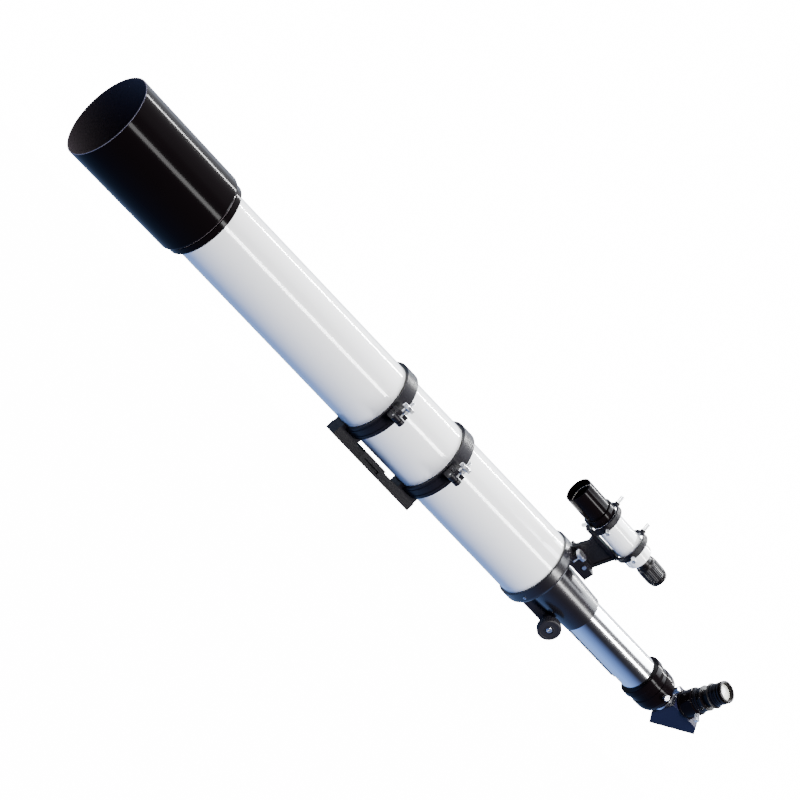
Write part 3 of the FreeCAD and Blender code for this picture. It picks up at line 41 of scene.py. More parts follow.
import bmesh
import bpy
from bpy.props import FloatProperty, FloatVectorProperty, IntProperty, PointerProperty
from mathutils import Matrix, Vector

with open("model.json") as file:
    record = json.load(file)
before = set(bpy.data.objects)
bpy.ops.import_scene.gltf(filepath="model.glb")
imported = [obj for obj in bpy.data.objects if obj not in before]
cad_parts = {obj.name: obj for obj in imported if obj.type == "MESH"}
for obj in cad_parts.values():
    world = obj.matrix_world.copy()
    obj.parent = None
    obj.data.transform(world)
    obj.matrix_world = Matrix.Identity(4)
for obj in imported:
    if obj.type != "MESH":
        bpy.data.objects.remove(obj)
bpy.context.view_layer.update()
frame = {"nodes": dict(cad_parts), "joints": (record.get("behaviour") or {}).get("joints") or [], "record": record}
NODES = frame["nodes"]
JOINTS = frame["joints"]
BODY_OF = {node: body for body, nodes in frame["record"]["behaviour"]["bodies"].items() for node in nodes}
SLOT_OF = {part["node"]: part["material_slot"] for part in frame["record"]["subparts"]}

MM = 0.001
X_AXIS = Vector((1, 0, 0))
UP = Vector((0, 0, 1))
TUBE_LOW, TUBE_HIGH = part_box("main_tube")
AXIS_Z = (TUBE_LOW.z + TUBE_HIGH.z) / 2
OPTICAL_AXIS = Vector((0, 0, AXIS_Z))
RING_SIDES = ("front", "rear")
HOOP_SCREWS = [f"finder_{hoop}_{place}_screw" for hoop in RING_SIDES for place in ("side", "top", "under")]
THUMBSCREWS = ["collar_thumbscrew_near", "collar_thumbscrew_far", "adapter_thumbscrew", "holder_thumbscrew"]
# a thread's root, as a share of its shank's radius
THREAD_ROOT = 0.93

# strength of the plain white that the camera sees, and of the light tent that reflections see
BACKDROP = 16.0
ROOM = 3.0
# the light tent round the tube: degrees from level in front, up over the top, and its colour
TENT = [(-180, (0.14, 0.17, 0.24)), (-150, (0.14, 0.22, 0.42)), (-100, (0.11, 0.20, 0.46)),
        (-60, (0.062, 0.105, 0.25)), (-40, (0.035, 0.05, 0.11)), (-22, (0.008, 0.008, 0.013)),
        (26, (0.006, 0.005, 0.007)), (40, (0.03, 0.03, 0.035)), (54, (0.12, 0.12, 0.13)),
        (62, (0.32, 0.33, 0.35)), (92, (0.40, 0.42, 0.45)), (116, (0.85, 0.87, 0.9)),
        (140, (0.8, 0.86, 0.97)), (165, (0.30, 0.35, 0.46)), (180, (0.14, 0.17, 0.24))]


# ------------------------------------------------------------------ settings

def colour(name, description, default):
    return FloatVectorProperty(name=name, description=description, default=default, subtype="COLOR",
                               min=0.0, max=1.0, size=3)


def length(name, description, default):
    return FloatProperty(name=name, description=description, default=default, min=0.0, unit="LENGTH",
                         precision=5)


class TelescopeColours(bpy.types.PropertyGroup):
    white_enamel: colour("White enamel", "Stoved enamel of the main tube and finder tube",
                         (0.93, 0.93, 0.935))
    black_enamel: colour("Black enamel", "Gloss enamel of the dew shield and lens cell",
                         (0.0030, 0.0020, 0.0025))
    casting: colour("Casting black", "Paint of the rings, bar, focuser and bracket",
                    (0.0070, 0.0062, 0.0088))
    plastic: colour("Knob plastic", "Moulded focus knobs", (0.0090, 0.0078, 0.0110))
    diagonal: colour("Diagonal plastic", "Blue-black moulded diagonal", (0.0085, 0.0085, 0.0270))
    chrome: colour("Chrome", "Plated drawtube, screws and nuts", (0.80, 0.81, 0.83))
    steel: colour("Steel", "Turned steel pins, rack and pinion", (0.52, 0.52, 0.53))
    glass: colour("Glass", "Optical glass with its coating", (0.90, 0.97, 0.95))
    felt: colour("Felt", "Lining of the tube rings", (0.03, 0.03, 0.033))


class TelescopeSizes(bpy.types.PropertyGroup):
    knurl_depth: length("Knurl depth", "Depth of the grooves round a knurled head", 0.28 * MM)
    screw_pitch: length("Screw pitch", "Pitch of the small screws' threads", 0.75 * MM)
    bolt_pitch: length("Bolt pitch", "Pitch of the clamp bolts' threads", 0.9 * MM)
    knob_ridges: IntProperty(name="Knob ridges", description="Ridges round a focus knob", default=48, min=12)
    screw_ridges: IntProperty(name="Screw ridges", description="Ridges round a thumbscrew", default=30, min=8)
    grip_pitch: length("Grip pitch", "Spacing of the eyepiece's grip rings", 2.6 * MM)
    rib_width: length("Rib width", "Width of the ribs on a ring's lower half", 2.2 * MM)
    rib_height: length("Rib height", "Height of the ribs on a ring's lower half", 0.9 * MM)
    rib_span: length("Rib span", "Across the outer edges of a ring's two ribs", 13.55 * MM)
    edge: length("Edge rounding", "Rounding of a casting's edges", 0.5 * MM)


class TelescopeStage(bpy.types.PropertyGroup):
    turn: FloatProperty(name="Turn", description="Camera's turn about the vertical", subtype="ANGLE",
                        default=math.radians(27.36))
    roll: FloatProperty(name="Roll", description="Camera's roll about its view", subtype="ANGLE",
                        default=math.radians(46.42))
    distance: length("Distance", "Camera's distance from its target", 9.0)
    lens: FloatProperty(name="Lens", description="Focal length on a 36 mm sensor, in millimetres",
                        default=296.7, min=1.0)
    target: FloatVectorProperty(name="Target", description="Point that the camera looks at", subtype="XYZ",
                                unit="LENGTH", default=(-0.041, 0.0, 0.09796))
    floor_drop: length("Floor drop", "How far the floor lies under the object", 0.9)
    floor_radius: length("Floor radius", "Radius of the floor", 60.0)
    key: FloatProperty(name="Key strip", description="Power of the long strip light", default=300.0, min=0.0,
                       unit="POWER")
    rim: FloatProperty(name="Rim strip", description="Power of the thin strip light", default=340.0, min=0.0,
                       unit="POWER")
    fill: FloatProperty(name="Overhead fill", description="Power of the light over the focuser", default=30.0,
                        min=0.0, unit="POWER")


def settings():
    scene = bpy.context.scene
    return scene.telescope_colours, scene.telescope_sizes, scene.telescope_stage


def towards_camera(stage):
    """The level direction from the target to the camera."""
    return Vector((-math.sin(stage.turn), -math.cos(stage.turn), 0))


# ------------------------------------------------------------------ shader expressions

class Socket:
    """An output socket that can be used in arithmetic: each operator adds its Math node."""

    def __init__(self, shader, output):
        self.shader = shader
        self.output = output

    def math(self, operation, *values):
        return self.shader.add("ShaderNodeMath", {"operation": operation}, *values)

    def __add__(self, other):
        return self.math("ADD", self, other)

    def __sub__(self, other):
        return self.math("SUBTRACT", self, other)

    def __mul__(self, other):
        return self.math("MULTIPLY", self, other)

    def __truediv__(self, other):
        return self.math("DIVIDE", self, other)

    def __radd__(self, other):
        return self.math("ADD", other, self)

    def __rsub__(self, other):
        return self.math("SUBTRACT", other, self)

    def __rmul__(self, other):
        return self.math("MULTIPLY", other, self)

    def __pow__(self, other):
        return self.math("POWER", self, other)

    def above(self, edge, softness):
        """0 below the edge, 1 above it, with a soft step."""
        return self.math("SMOOTH_MIN", self.math("MAXIMUM", (self - edge) / softness, 0.0), 1.0, 0.1)

    def beyond(self, edge):
        """0 up to the edge and 1 beyond it."""
        return self.math("GREATER_THAN", self, edge)


class Shader:
    """A material's node tree, built from expressions."""

    def __init__(self, tree):
        self.tree = tree
        tree.nodes.clear()

    def add(self, kind, setup=None, *values, **named):
        """A node of a type with its settings, its inputs by place or by name, and its first output."""
        node = self.tree.nodes.new(kind)
        for key, value in (setup or {}).items():
            if key == "stops":
                self.set_stops(node.color_ramp, value)
            else:
                setattr(node, key, value)
        for place, value in enumerate(values):
            self.feed(node.inputs[place], value)
        for name, value in named.items():
            self.feed(node.inputs[name.replace("_", " ")], value)
        return Socket(self, node.outputs[0])

    def feed(self, target, value):
        if isinstance(value, Socket):
            self.tree.links.new(value.output, target)
        else:
            target.default_value = value

    @staticmethod
    def set_stops(ramp, stops):
        while len(ramp.elements) > 1:
            ramp.elements.remove(ramp.elements[-1])
        ramp.elements[0].position, ramp.elements[0].color = stops[0]
        for position, value in stops[1:]:
            ramp.elements.new(position).color = value

    def other(self, socket, name):
        """Another output of the node that gave a socket."""
        return Socket(self, socket.output.node.outputs[name])

    def position(self):
        return self.other(self.add("ShaderNodeTexCoord"), "Object")

    def parts(self, vector):
        """The x, y and z of a vector."""
        split = self.add("ShaderNodeSeparateXYZ", None, vector)
        return split, self.other(split, "Y"), self.other(split, "Z")

    def noise(self, scale, detail=3.0, roughness=0.55, stretch=None):
        place = self.position()
        if stretch:
            place = self.add("ShaderNodeMapping", None, Vector=place, Scale=stretch)
        return self.add("ShaderNodeTexNoise", None, Vector=place, Scale=scale, Detail=detail,
                        Roughness=roughness)

    def blend(self, share, low, high):
        """A colour between two colours."""
        node = self.tree.nodes.new("ShaderNodeMix")
        node.data_type = "RGBA"
        self.feed(node.inputs["Factor"], share)
        for name, value in (("A", low), ("B", high)):
            target = next(i for i in node.inputs if i.name == name and i.type == "RGBA")
            self.feed(target, (*value, 1.0) if isinstance(value, (tuple, list)) else value)
        return Socket(self, next(o for o in node.outputs if o.type == "RGBA"))

    def bump(self, height, distance, strength):
        return self.add("ShaderNodeBump", None, Strength=strength, Distance=distance, Height=height)

    def radius_about(self, centre_y, centre_z):
        """Distance from a line along x."""
        _, across, height = self.parts(self.position())
        return ((across - centre_y) ** 2.0 + (height - centre_z) ** 2.0) ** 0.5

    def end(self, kind, surface):
        """The tree's output node, showing a surface."""
        self.feed(self.tree.nodes.new(kind).inputs["Surface"], surface)

    def surface(self, **inputs):
        self.end("ShaderNodeOutputMaterial", self.add("ShaderNodeBsdfPrincipled", None, **inputs))


def shade(rgb, gain):
    return tuple(min(1.0, channel * gain) for channel in rgb)


def base(shader, rgb, mottle_scale, spread):
    """A base colour that drifts a little darker and lighter over the surface."""
    return shader.blend(shader.noise(mottle_scale, 4.0), shade(rgb, 1 - spread), shade(rgb, 1 + spread))


def hairlines(shader):
    """Long wiping marks that run along the tube."""
    return shader.noise(55.0, 3.0, 0.6, (0.12, 9.0, 9.0)).above(0.63, 0.06)


def white_enamel(shader, colours):
    """Stoved gloss enamel: faint orange peel, a little dust, slightly uneven gloss."""
    dust = shader.noise(900.0, 2.0).above(0.68, 0.05)
    smear = shader.noise(14.0, 5.0, 0.6, (0.35, 1.0, 1.0))
    skin = base(shader, colours.white_enamel, 9.0, 0.018)
    peel = shader.bump(shader.noise(420.0, 2.0), 0.02 * MM, 0.3)
    shader.surface(Base_Color=shader.blend(dust * 0.10, skin, shade(colours.white_enamel, 0.72)),
                   Roughness=0.10 + smear * 0.08 + dust * 0.2, Coat_Weight=0.8, Coat_Roughness=0.04,
                   Specular_IOR_Level=0.6, Normal=peel)


def black_enamel(shader, colours):
    """Gloss black enamel with hairline wiping marks and specks of dust."""
    dust = shader.noise(1300.0, 2.0).above(0.70, 0.04)
    skin = base(shader, colours.black_enamel, 12.0, 0.16)
    peel = shader.bump(shader.noise(480.0, 2.0), 0.012 * MM, 0.25)
    shader.surface(Base_Color=shader.blend(dust * 0.35, skin, shade(colours.black_enamel, 5.0)),
                   Roughness=0.12 + hairlines(shader) * 0.08 + dust * 0.15, Specular_IOR_Level=0.05,
                   Normal=peel)


def dew_enamel(shader, colours):
    """The dew shield: gloss outside and at its back, flocked matt black inside, and a pale lilac painted highlight
    along its front edge.
    """
    low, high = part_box("dew_shield")
    mouth = (high.y - low.y) / 2
    back_radius = 66.7 * MM
    skin_depth, back_depth, edge_depth = 1.1 * MM, 0.3 * MM, 0.15 * MM
    station, _, _ = shader.parts(shader.position())
    from_mouth = station - low.x
    wall = mouth - from_mouth * ((mouth - back_radius) / (high.x - low.x))
    outside = shader.radius_about(0.0, AXIS_Z).beyond(wall - skin_depth)
    outside = outside.math("MAXIMUM", outside, station.beyond(high.x - back_depth))
    flock = shader.noise(2200.0, 3.0)
    inside = shader.blend(flock, (0.060, 0.048, 0.052), (0.15, 0.122, 0.131))
    # a thin pale lilac band at the mouth's front edge: a painted highlight of the light along the rim
    wear_and_painted_highlight = 1 - from_mouth.above(edge_depth, edge_depth)
    skin = shader.blend(wear_and_painted_highlight * 0.8, base(shader, colours.black_enamel, 12.0, 0.16), (0.34, 0.31, 0.38))
    height = flock * (1 - outside) + shader.noise(480.0, 2.0) * outside * 0.02
    shader.surface(Base_Color=shader.blend(outside, inside, skin),
                   Roughness=0.58 - outside * 0.46 + hairlines(shader) * outside * 0.08,
                   Specular_IOR_Level=0.035, Normal=shader.bump(height, 0.12 * MM, 0.3))


def cast_black(shader, colours):
    """Satin paint over a sand casting: fine grain, a few spots where the paint is worn."""
    grain = shader.noise(1500.0, 3.0)
    # in this finish the mask marks only random spots of worn paint
    wear_and_painted_highlight = shader.noise(60.0, 5.0, 0.7).above(0.67, 0.05)
    skin = base(shader, colours.casting, 40.0, 0.2)
    shader.surface(Base_Color=shader.blend(wear_and_painted_highlight * 0.4, skin, shade(colours.casting, 2.4)),
                   Roughness=0.26 + grain * 0.12 + wear_and_painted_highlight * 0.05, Specular_IOR_Level=0.12,
                   Normal=shader.bump(grain, 0.10 * MM, 0.5))


def focuser_black(shader, colours):
    """Semi-gloss paint over the machined focuser."""
    grain = shader.noise(1300.0, 2.0)
    skin = base(shader, colours.casting, 30.0, 0.2)
    shader.surface(Base_Color=skin, Roughness=0.22 + grain * 0.06, Specular_IOR_Level=0.5,
                   Normal=shader.bump(grain, 0.03 * MM, 0.3))


def pebbly_black(shader, colours):
    """Rough cast faces: the sand's pebbles under the paint."""
    pebbles = shader.add("ShaderNodeTexVoronoi", {"feature": "SMOOTH_F1"}, Vector=shader.position(),
                         Scale=620.0, Smoothness=0.6)
    grain = shader.noise(1500.0, 3.0)
    skin = base(shader, shade(colours.casting, 0.4), 50.0, 0.3)
    shader.surface(Base_Color=shader.blend(pebbles * 0.22, skin, shade(colours.casting, 3.0)),
                   Roughness=0.40 + grain * 0.2, Specular_IOR_Level=0.14,
                   Normal=shader.bump(pebbles + grain * 0.3, 0.5 * MM, 0.55))


def alloy_with_painted_highlight(shader, colours):
    """Anodised aluminium, matt, with a pale cream base colour that is a painted highlight: it stands in for the
    bright arc of light on the finder's stop ring.
    """
    grain = shader.noise(1200.0, 3.0)
    shader.surface(Base_Color=shader.blend(grain, (0.62, 0.58, 0.50), (0.86, 0.82, 0.74)),
                   Metallic=0.35, Roughness=0.34 + grain * 0.16, Normal=shader.bump(grain, 0.03 * MM, 0.4))


def moulded_black(shader, colours):
    """Moulded knob plastic with a fine spark-eroded grain and ridges worn paler in places."""
    grain = shader.noise(2400.0, 2.0)
    worn = shader.noise(120.0, 4.0, 0.65).above(0.64, 0.06)
    skin = base(shader, colours.plastic, 70.0, 0.2)
    shader.surface(Base_Color=shader.blend(worn * 0.45, skin, shade(colours.plastic, 2.6)),
                   Roughness=0.46 + grain * 0.14 - worn * 0.1, Specular_IOR_Level=0.35,
                   Normal=shader.bump(grain, 0.06 * MM, 0.5))


def diagonal_black(shader, colours):
    """Blue-black moulded sides with faint flow marks."""
    grain = shader.noise(1800.0, 2.0)
    flow = shader.noise(30.0, 3.0, 0.5, (1.0, 0.25, 1.0))
    shader.surface(Base_Color=shader.blend(flow, shade(colours.diagonal, 0.7), shade(colours.diagonal, 1.35)),
                   Roughness=0.32 + grain * 0.12, Specular_IOR_Level=0.12,
                   Normal=shader.bump(grain, 0.05 * MM, 0.4))


def rubber_black(shader, colours):
    """Eyepiece body: anodised rings with a satin sheen."""
    grain = shader.noise(1700.0, 2.0)
    handled = shader.noise(90.0, 4.0, 0.6).above(0.62, 0.06)
    skin = base(shader, colours.black_enamel, 80.0, 0.25)
    shader.surface(Base_Color=shader.blend(handled * 0.4, skin, shade(colours.black_enamel, 4.0)),
                   Roughness=0.26 + grain * 0.12 + handled * 0.08, Specular_IOR_Level=0.18,
                   Normal=shader.bump(grain, 0.04 * MM, 0.4))


def plated(shader, colours):
    """Bright nickel-chrome plating on turned hardware."""
    haze = shader.noise(260.0, 4.0)
    pits = shader.noise(2600.0, 2.0).above(0.72, 0.03)
    skin = shader.blend(pits, shade(colours.chrome, 1.0), shade(colours.chrome, 0.45))
    shader.surface(Base_Color=skin, Metallic=1.0, Roughness=0.22 + haze * 0.14 + pits * 0.2,
                   Normal=shader.bump(haze, 0.02 * MM, 0.3))


def drawtube_chrome(shader, colours):
    """Polished drawtube: a light haze and long rub marks from its bearing."""
    rubs = shader.noise(40.0, 4.0, 0.6, (0.05, 14.0, 14.0)).above(0.60, 0.06)
    haze = shader.noise(120.0, 4.0)
    skin = shader.blend(rubs * 0.5, shade(colours.chrome, 1.0), shade(colours.chrome, 0.82))
    shader.surface(Base_Color=skin, Metallic=1.0, Roughness=0.11 + haze * 0.05 + rubs * 0.08,
                   Normal=shader.bump(haze, 0.01 * MM, 0.4))


def turned_steel(shader, colours):
    """Plain turned steel with a trace of oil."""
    oil = shader.noise(150.0, 4.0)
    cuts = shader.noise(30.0, 2.0, 0.5, (60.0, 2.0, 2.0))
    shader.surface(Base_Color=shader.blend(oil, shade(colours.steel, 0.75), shade(colours.steel, 1.1)),
                   Metallic=1.0, Roughness=0.24 + oil * 0.16,
                   Normal=shader.bump(cuts, 0.02 * MM, 0.4))


def felt(shader, colours):
    """Black felt lining."""
    fibres = shader.noise(3200.0, 4.0, 0.7)
    shader.surface(Base_Color=shader.blend(fibres, shade(colours.felt, 0.6), shade(colours.felt, 1.8)),
                   Roughness=0.9, Sheen_Weight=0.3, Normal=shader.bump(fibres, 0.3 * MM, 0.8))


def coated_glass(shader, colours):
    """Clear glass with a faint coating and a few cleaning marks."""
    marks = shader.noise(70.0, 3.0, 0.6, (1.0, 6.0, 6.0)).above(0.66, 0.08)
    shader.surface(Base_Color=(*colours.glass, 1.0), Roughness=0.01 + marks * 0.05, IOR=1.52,
                   Transmission_Weight=1.0, Coat_Weight=0.4, Coat_Roughness=0.02,
                   Coat_Tint=(0.75, 0.85, 1.0, 1.0), Normal=shader.bump(marks, 0.002 * MM, 0.1))


def bright_glass(shader, colours):
    """An eye lens with a painted reflection of the sky's light: a pale cream base colour, very smooth."""
    drift = shader.noise(60.0, 3.0)
    # the pale cream base colour is a painted reflection of the sky, drifting a little over the lens
    shader.surface(Base_Color=shader.blend(drift, (0.86, 0.86, 0.74), (0.95, 0.94, 0.84)),
                   Roughness=0.05 + drift * 0.05, IOR=1.52, Transmission_Weight=0.25, Coat_Weight=1.0,
                   Coat_Roughness=0.02, Normal=shader.bump(drift, 0.002 * MM, 0.1))


FINISHES = {make.__name__: make for make in (
    white_enamel, black_enamel, dew_enamel, cast_black, focuser_black, pebbly_black, alloy_with_painted_highlight,
    moulded_black, diagonal_black, rubber_black, plated, drawtube_chrome, turned_steel, felt,
    coated_glass, bright_glass)}


def finish(name):
    """The material of that name, made once."""
    material = bpy.data.materials.get(name)
    if material is None:
        material = bpy.data.materials.new(name)
        material.use_nodes = True
        FINISHES[name](Shader(material.node_tree), settings()[0])
    return material


def dress(name, *nodes):
    """Give frame nodes a finish; their shapes stay as they are."""
    for node in nodes:
        NODES[node].data.materials.clear()
        NODES[node].data.materials.append(finish(name))


# ------------------------------------------------------------------ shapes

def turning_axis(node):
    """The point and direction that a node's body turns about."""
    joint = next(j for j in JOINTS if j["child"] == BODY_OF[node])
    return Vector(joint["pos_m"]), Vector(joint["axis"]).normalized()


def standing(origin, axis):
    """The frame whose z runs along an axis from an origin."""
    return Matrix.Translation(origin) @ axis.to_track_quat("Z", "Y").to_matrix().to_4x4()


def spread_of(node, origin, axis):
    """A node's points as (along, radius) about an axis, from its start to its end."""
    points = []
    for vertex in NODES[node].data.vertices:
        offset = vertex.co - origin
        along = offset.dot(axis)
        points.append((along, (offset - axis * along).length))
    return sorted(points)


def silhouette(node, origin, axis):
    """The outside outline of a turned node, as (along, radius) corners."""
    step = 0.05 * MM
    outer = {}
    for along, radius in spread_of(node, origin, axis):
        key = round(along / step)
        outer[key] = max(outer.get(key, 0.0), radius)
    return [(key * step, radius) for key, radius in sorted(outer.items())]


def stack(bm, rings, count, place, bored=False):
    """Rings of points at (along, radius, ridge), joined by walls.

    The two ends are capped or, if bored, the last ring is joined to the first. A ridge draws every
    other point of its ring in by that much, which knurls the wall.
    """
    verts = bmesh.ops.create_circle(bm, cap_ends=False, radius=1.0, segments=count)["verts"]
    circle = set(verts)
    edges = [edge for edge in bm.edges if edge.verts[0] in circle]
    first = edges
    everything = []
    for number, (along, radius, ridge) in enumerate(rings):
        if number:
            grown = bmesh.ops.extrude_edge_only(bm, edges=edges)["geom"]
            verts = [item for item in grown if isinstance(item, bmesh.types.BMVert)]
            edges = [item for item in grown if isinstance(item, bmesh.types.BMEdge)]
        for vert in verts:
            angle = math.atan2(vert.co.y, vert.co.x)
            odd = round(angle / (2 * math.pi / count)) % 2
            reach = radius - ridge * odd
            vert.co = Vector((reach * math.cos(angle), reach * math.sin(angle), along))
        everything += verts
    if bored:
        bmesh.ops.bridge_loops(bm, edges=first + edges)
    else:
        bmesh.ops.contextual_create(bm, geom=first)
        bmesh.ops.contextual_create(bm, geom=edges)
    bmesh.ops.transform(bm, matrix=place, verts=everything)
    return everything


def thread(bm, radius, depth, pitch, start, end, place, steps=20):
    """A helical ridge on a shank."""
    turns = int((end - start) / pitch)
    root = radius - depth * 0.4
    profile = ((root, 0.0), (radius + depth, 0.4), (root, 0.8))
    corners = [bm.verts.new((reach, 0, start + pitch * share)) for reach, share in profile]
    outline = [bm.edges.new((corners[i], corners[(i + 1) % 3])) for i in range(3)]
    before = set(bm.verts) - set(corners)
    bmesh.ops.spin(bm, geom=corners + outline, cent=(0, 0, 0), axis=(0, 0, 1), dvec=(0, 0, pitch / steps),
                   angle=2 * math.pi * turns, steps=turns * steps, use_merge=False, use_duplicate=False)
    made = [vert for vert in bm.verts if vert not in before]
    bmesh.ops.holes_fill(bm, edges=[edge for edge in bm.edges if edge.is_boundary], sides=3)
    bmesh.ops.transform(bm, matrix=place, verts=made)


def piece(bm, name, material, body, replaced=(), slot=None, sharp=38.0, rounding=0.0):
    """Turn a finished mesh into a piece that rides on a body."""
    bmesh.ops.remove_doubles(bm, verts=bm.verts, dist=0.001 * MM)
    bmesh.ops.recalc_face_normals(bm, faces=bm.faces)
    mesh = bpy.data.meshes.new(name)
    bm.to_mesh(mesh)
    bm.free()
    mesh.shade_smooth()
    mesh.set_sharp_from_angle(angle=math.radians(sharp))
    obj = bpy.data.objects.new(name, mesh)
    bpy.context.scene.collection.objects.link(obj)
    mesh.materials.append(finish(material))
    if rounding:
        bevel = obj.modifiers.new("rounded edges", "BEVEL")
        bevel.width = rounding
        bevel.segments = 2
        bevel.limit_method = "ANGLE"
        bevel.angle_limit = math.radians(sharp)
        bevel.harden_normals = True
    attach(obj, body)
    if replaced:
        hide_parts(*replaced)
    return obj


def stand_in(bm, node, material, **options):
    """A finer piece in place of one frame node."""
    return piece(bm, node + "_fine", material, BODY_OF[node], (node,), SLOT_OF[node], **options)


def softened(node, material, rounding):
    """A copy of a casting with its edges rounded."""
    bm = bmesh.new()
    bm.from_mesh(NODES[node].data)
    bmesh.ops.remove_doubles(bm, verts=bm.verts, dist=0.002 * MM)
    bmesh.ops.dissolve_limit(bm, angle_limit=math.radians(0.4), verts=bm.verts, edges=bm.edges)
    return stand_in(bm, node, material, rounding=rounding, sharp=33.0)


def knurled_screw(node, ridges, pitch, depth):
    """A thumbscrew: threaded shank, plain collar, knurled head with a dimpled end."""
    origin, axis = turning_axis(node)
    points = spread_of(node, origin, axis)
    tip, end = points[0][0], points[-1][0]
    head = max(radius for _, radius in points)
    seat = min(along for along, radius in points if radius > head * 0.5)
    shank = max(radius for along, radius in points if along < seat - 0.1 * MM)
    core = shank * THREAD_ROOT
    collar = head * 0.62
    flat = 0.5 * MM
    place = standing(origin, axis)
    bm = bmesh.new()
    stack(bm, [(tip, shank * 0.6, 0), (tip + 0.4 * MM, core, 0), (seat, core, 0),
               (seat, collar - 0.2 * MM, 0), (seat + 0.2 * MM, collar, 0), (seat + 1.3 * MM, collar, 0),
               (seat + 1.5 * MM, head - 0.8 * MM, 0), (seat + 2.0 * MM, head, depth),
               (end - flat, head, depth), (end, head - 0.7 * MM, 0), (end, head * 0.52, 0),
               (end - 0.35 * MM, head * 0.42, 0)], 2 * ridges, place)
    thread(bm, core, shank - core, pitch, tip + 0.5 * MM, seat, place)
    return stand_in(bm, node, "plated", sharp=28.0)


def hex_recess(angle):
    """A hexagon's reach at an angle, where its flats are one unit from its middle."""
    sixth = math.pi / 3
    return 1.0 / math.cos((angle % sixth) - sixth / 2)


def socket_screw(bm, place, radius, height, key):
    """A round screw head with a hexagon recess, standing on its seat along z."""
    crown = radius - 0.35 * MM
    stack(bm, [(0, radius - 0.15 * MM, 0), (0, radius, 0), (height - 0.3 * MM, radius, 0),
               (height, crown, 0)], 36, Matrix.Identity(4))
    top = max(bm.faces, key=lambda face: face.calc_center_median().z)
    bmesh.ops.inset_individual(bm, faces=[top], thickness=crown - key * 1.15)
    for vert in top.verts:
        angle = math.atan2(vert.co.y, vert.co.x)
        reach = key * hex_recess(angle)
        vert.co.x, vert.co.y = reach * math.cos(angle), reach * math.sin(angle)
    sunk = bmesh.ops.extrude_face_region(bm, geom=[top])["geom"]
    floor = [item for item in sunk if isinstance(item, bmesh.types.BMVert)]
    bmesh.ops.translate(bm, verts=floor, vec=(0, 0, -height * 0.6))
    bmesh.ops.delete(bm, geom=[top], context="FACES_ONLY")
    bmesh.ops.transform(bm, matrix=place, verts=bm.verts)


def socket_screws(heads, radius, key):
    """One mesh of several screw heads, each given by its place and height."""
    whole = bmesh.new()
    for place, height in heads:
        head = bmesh.new()
        socket_screw(head, place, radius, height, key)
        mesh = bpy.data.meshes.new("head")
        head.to_mesh(mesh)
        head.free()
        whole.from_mesh(mesh)
        bpy.data.meshes.remove(mesh)
    return whole


# ------------------------------------------------------------------ operators

class PieceOperator:
    """Builds its pieces once; a failure is raised, so the run stops."""

    bl_options = {"REGISTER", "UNDO"}

    def execute(self, context):
        _, sizes, stage = settings()
        self.build(sizes, stage)
        return {"FINISHED"}


class TELESCOPE_OT_cradle(PieceOperator, bpy.types.Operator):
    """Mounting bar, tube rings and their ribs"""

    bl_idname = "telescope.cradle"
    bl_label = "Cradle"

    def build(self, sizes, stage):
        softened("mounting_bar", "pebbly_black", sizes.edge)
        for side in RING_SIDES:
            softened(f"{side}_ring_lower", "cast_black", sizes.edge)
            softened(f"{side}_ring_upper", "cast_black", sizes.edge)
        for side in RING_SIDES:
            self.ribs(side, sizes)
        dress("felt", "ring_linings")
        dress("turned_steel", "ring_pins", "ring_foot_bolts")

    def ribs(self, side, sizes):
        """Two raised edges round the near quarter of a ring's lower half."""
        low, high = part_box(f"{side}_ring_lower")
        middle = (low.x + high.x) / 2
        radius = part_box(f"{side}_ring_upper")[1].z - AXIS_Z
        inside = radius - 0.5 * MM
        outside = radius + sizes.rib_height
        first, swept = math.radians(11.0), math.radians(56.0)
        for name, sign in (("outer", 1), ("inner", -1)):
            start = middle - sign * sizes.rib_span / 2
            end = start + sign * sizes.rib_width
            bm = bmesh.new()
            corners = [bm.verts.new((x, -r, AXIS_Z)) for x, r in
                       ((start, inside), (start, outside), (end, outside), (end, inside))]
            edges = [bm.edges.new((corners[i], corners[(i + 1) % 4])) for i in range(4)]
            bmesh.ops.rotate(bm, verts=corners, cent=OPTICAL_AXIS, matrix=Matrix.Rotation(first, 3, "X"))
            bmesh.ops.spin(bm, geom=corners + edges, cent=OPTICAL_AXIS, axis=X_AXIS, angle=swept, steps=40,
                           use_merge=False, use_duplicate=False)
            bmesh.ops.holes_fill(bm, edges=[edge for edge in bm.edges if edge.is_boundary], sides=4)
            piece(bm, f"{side}_ring_{name}_rib", "cast_black", "cradle", slot="black_casting",
                  rounding=0.25 * MM)


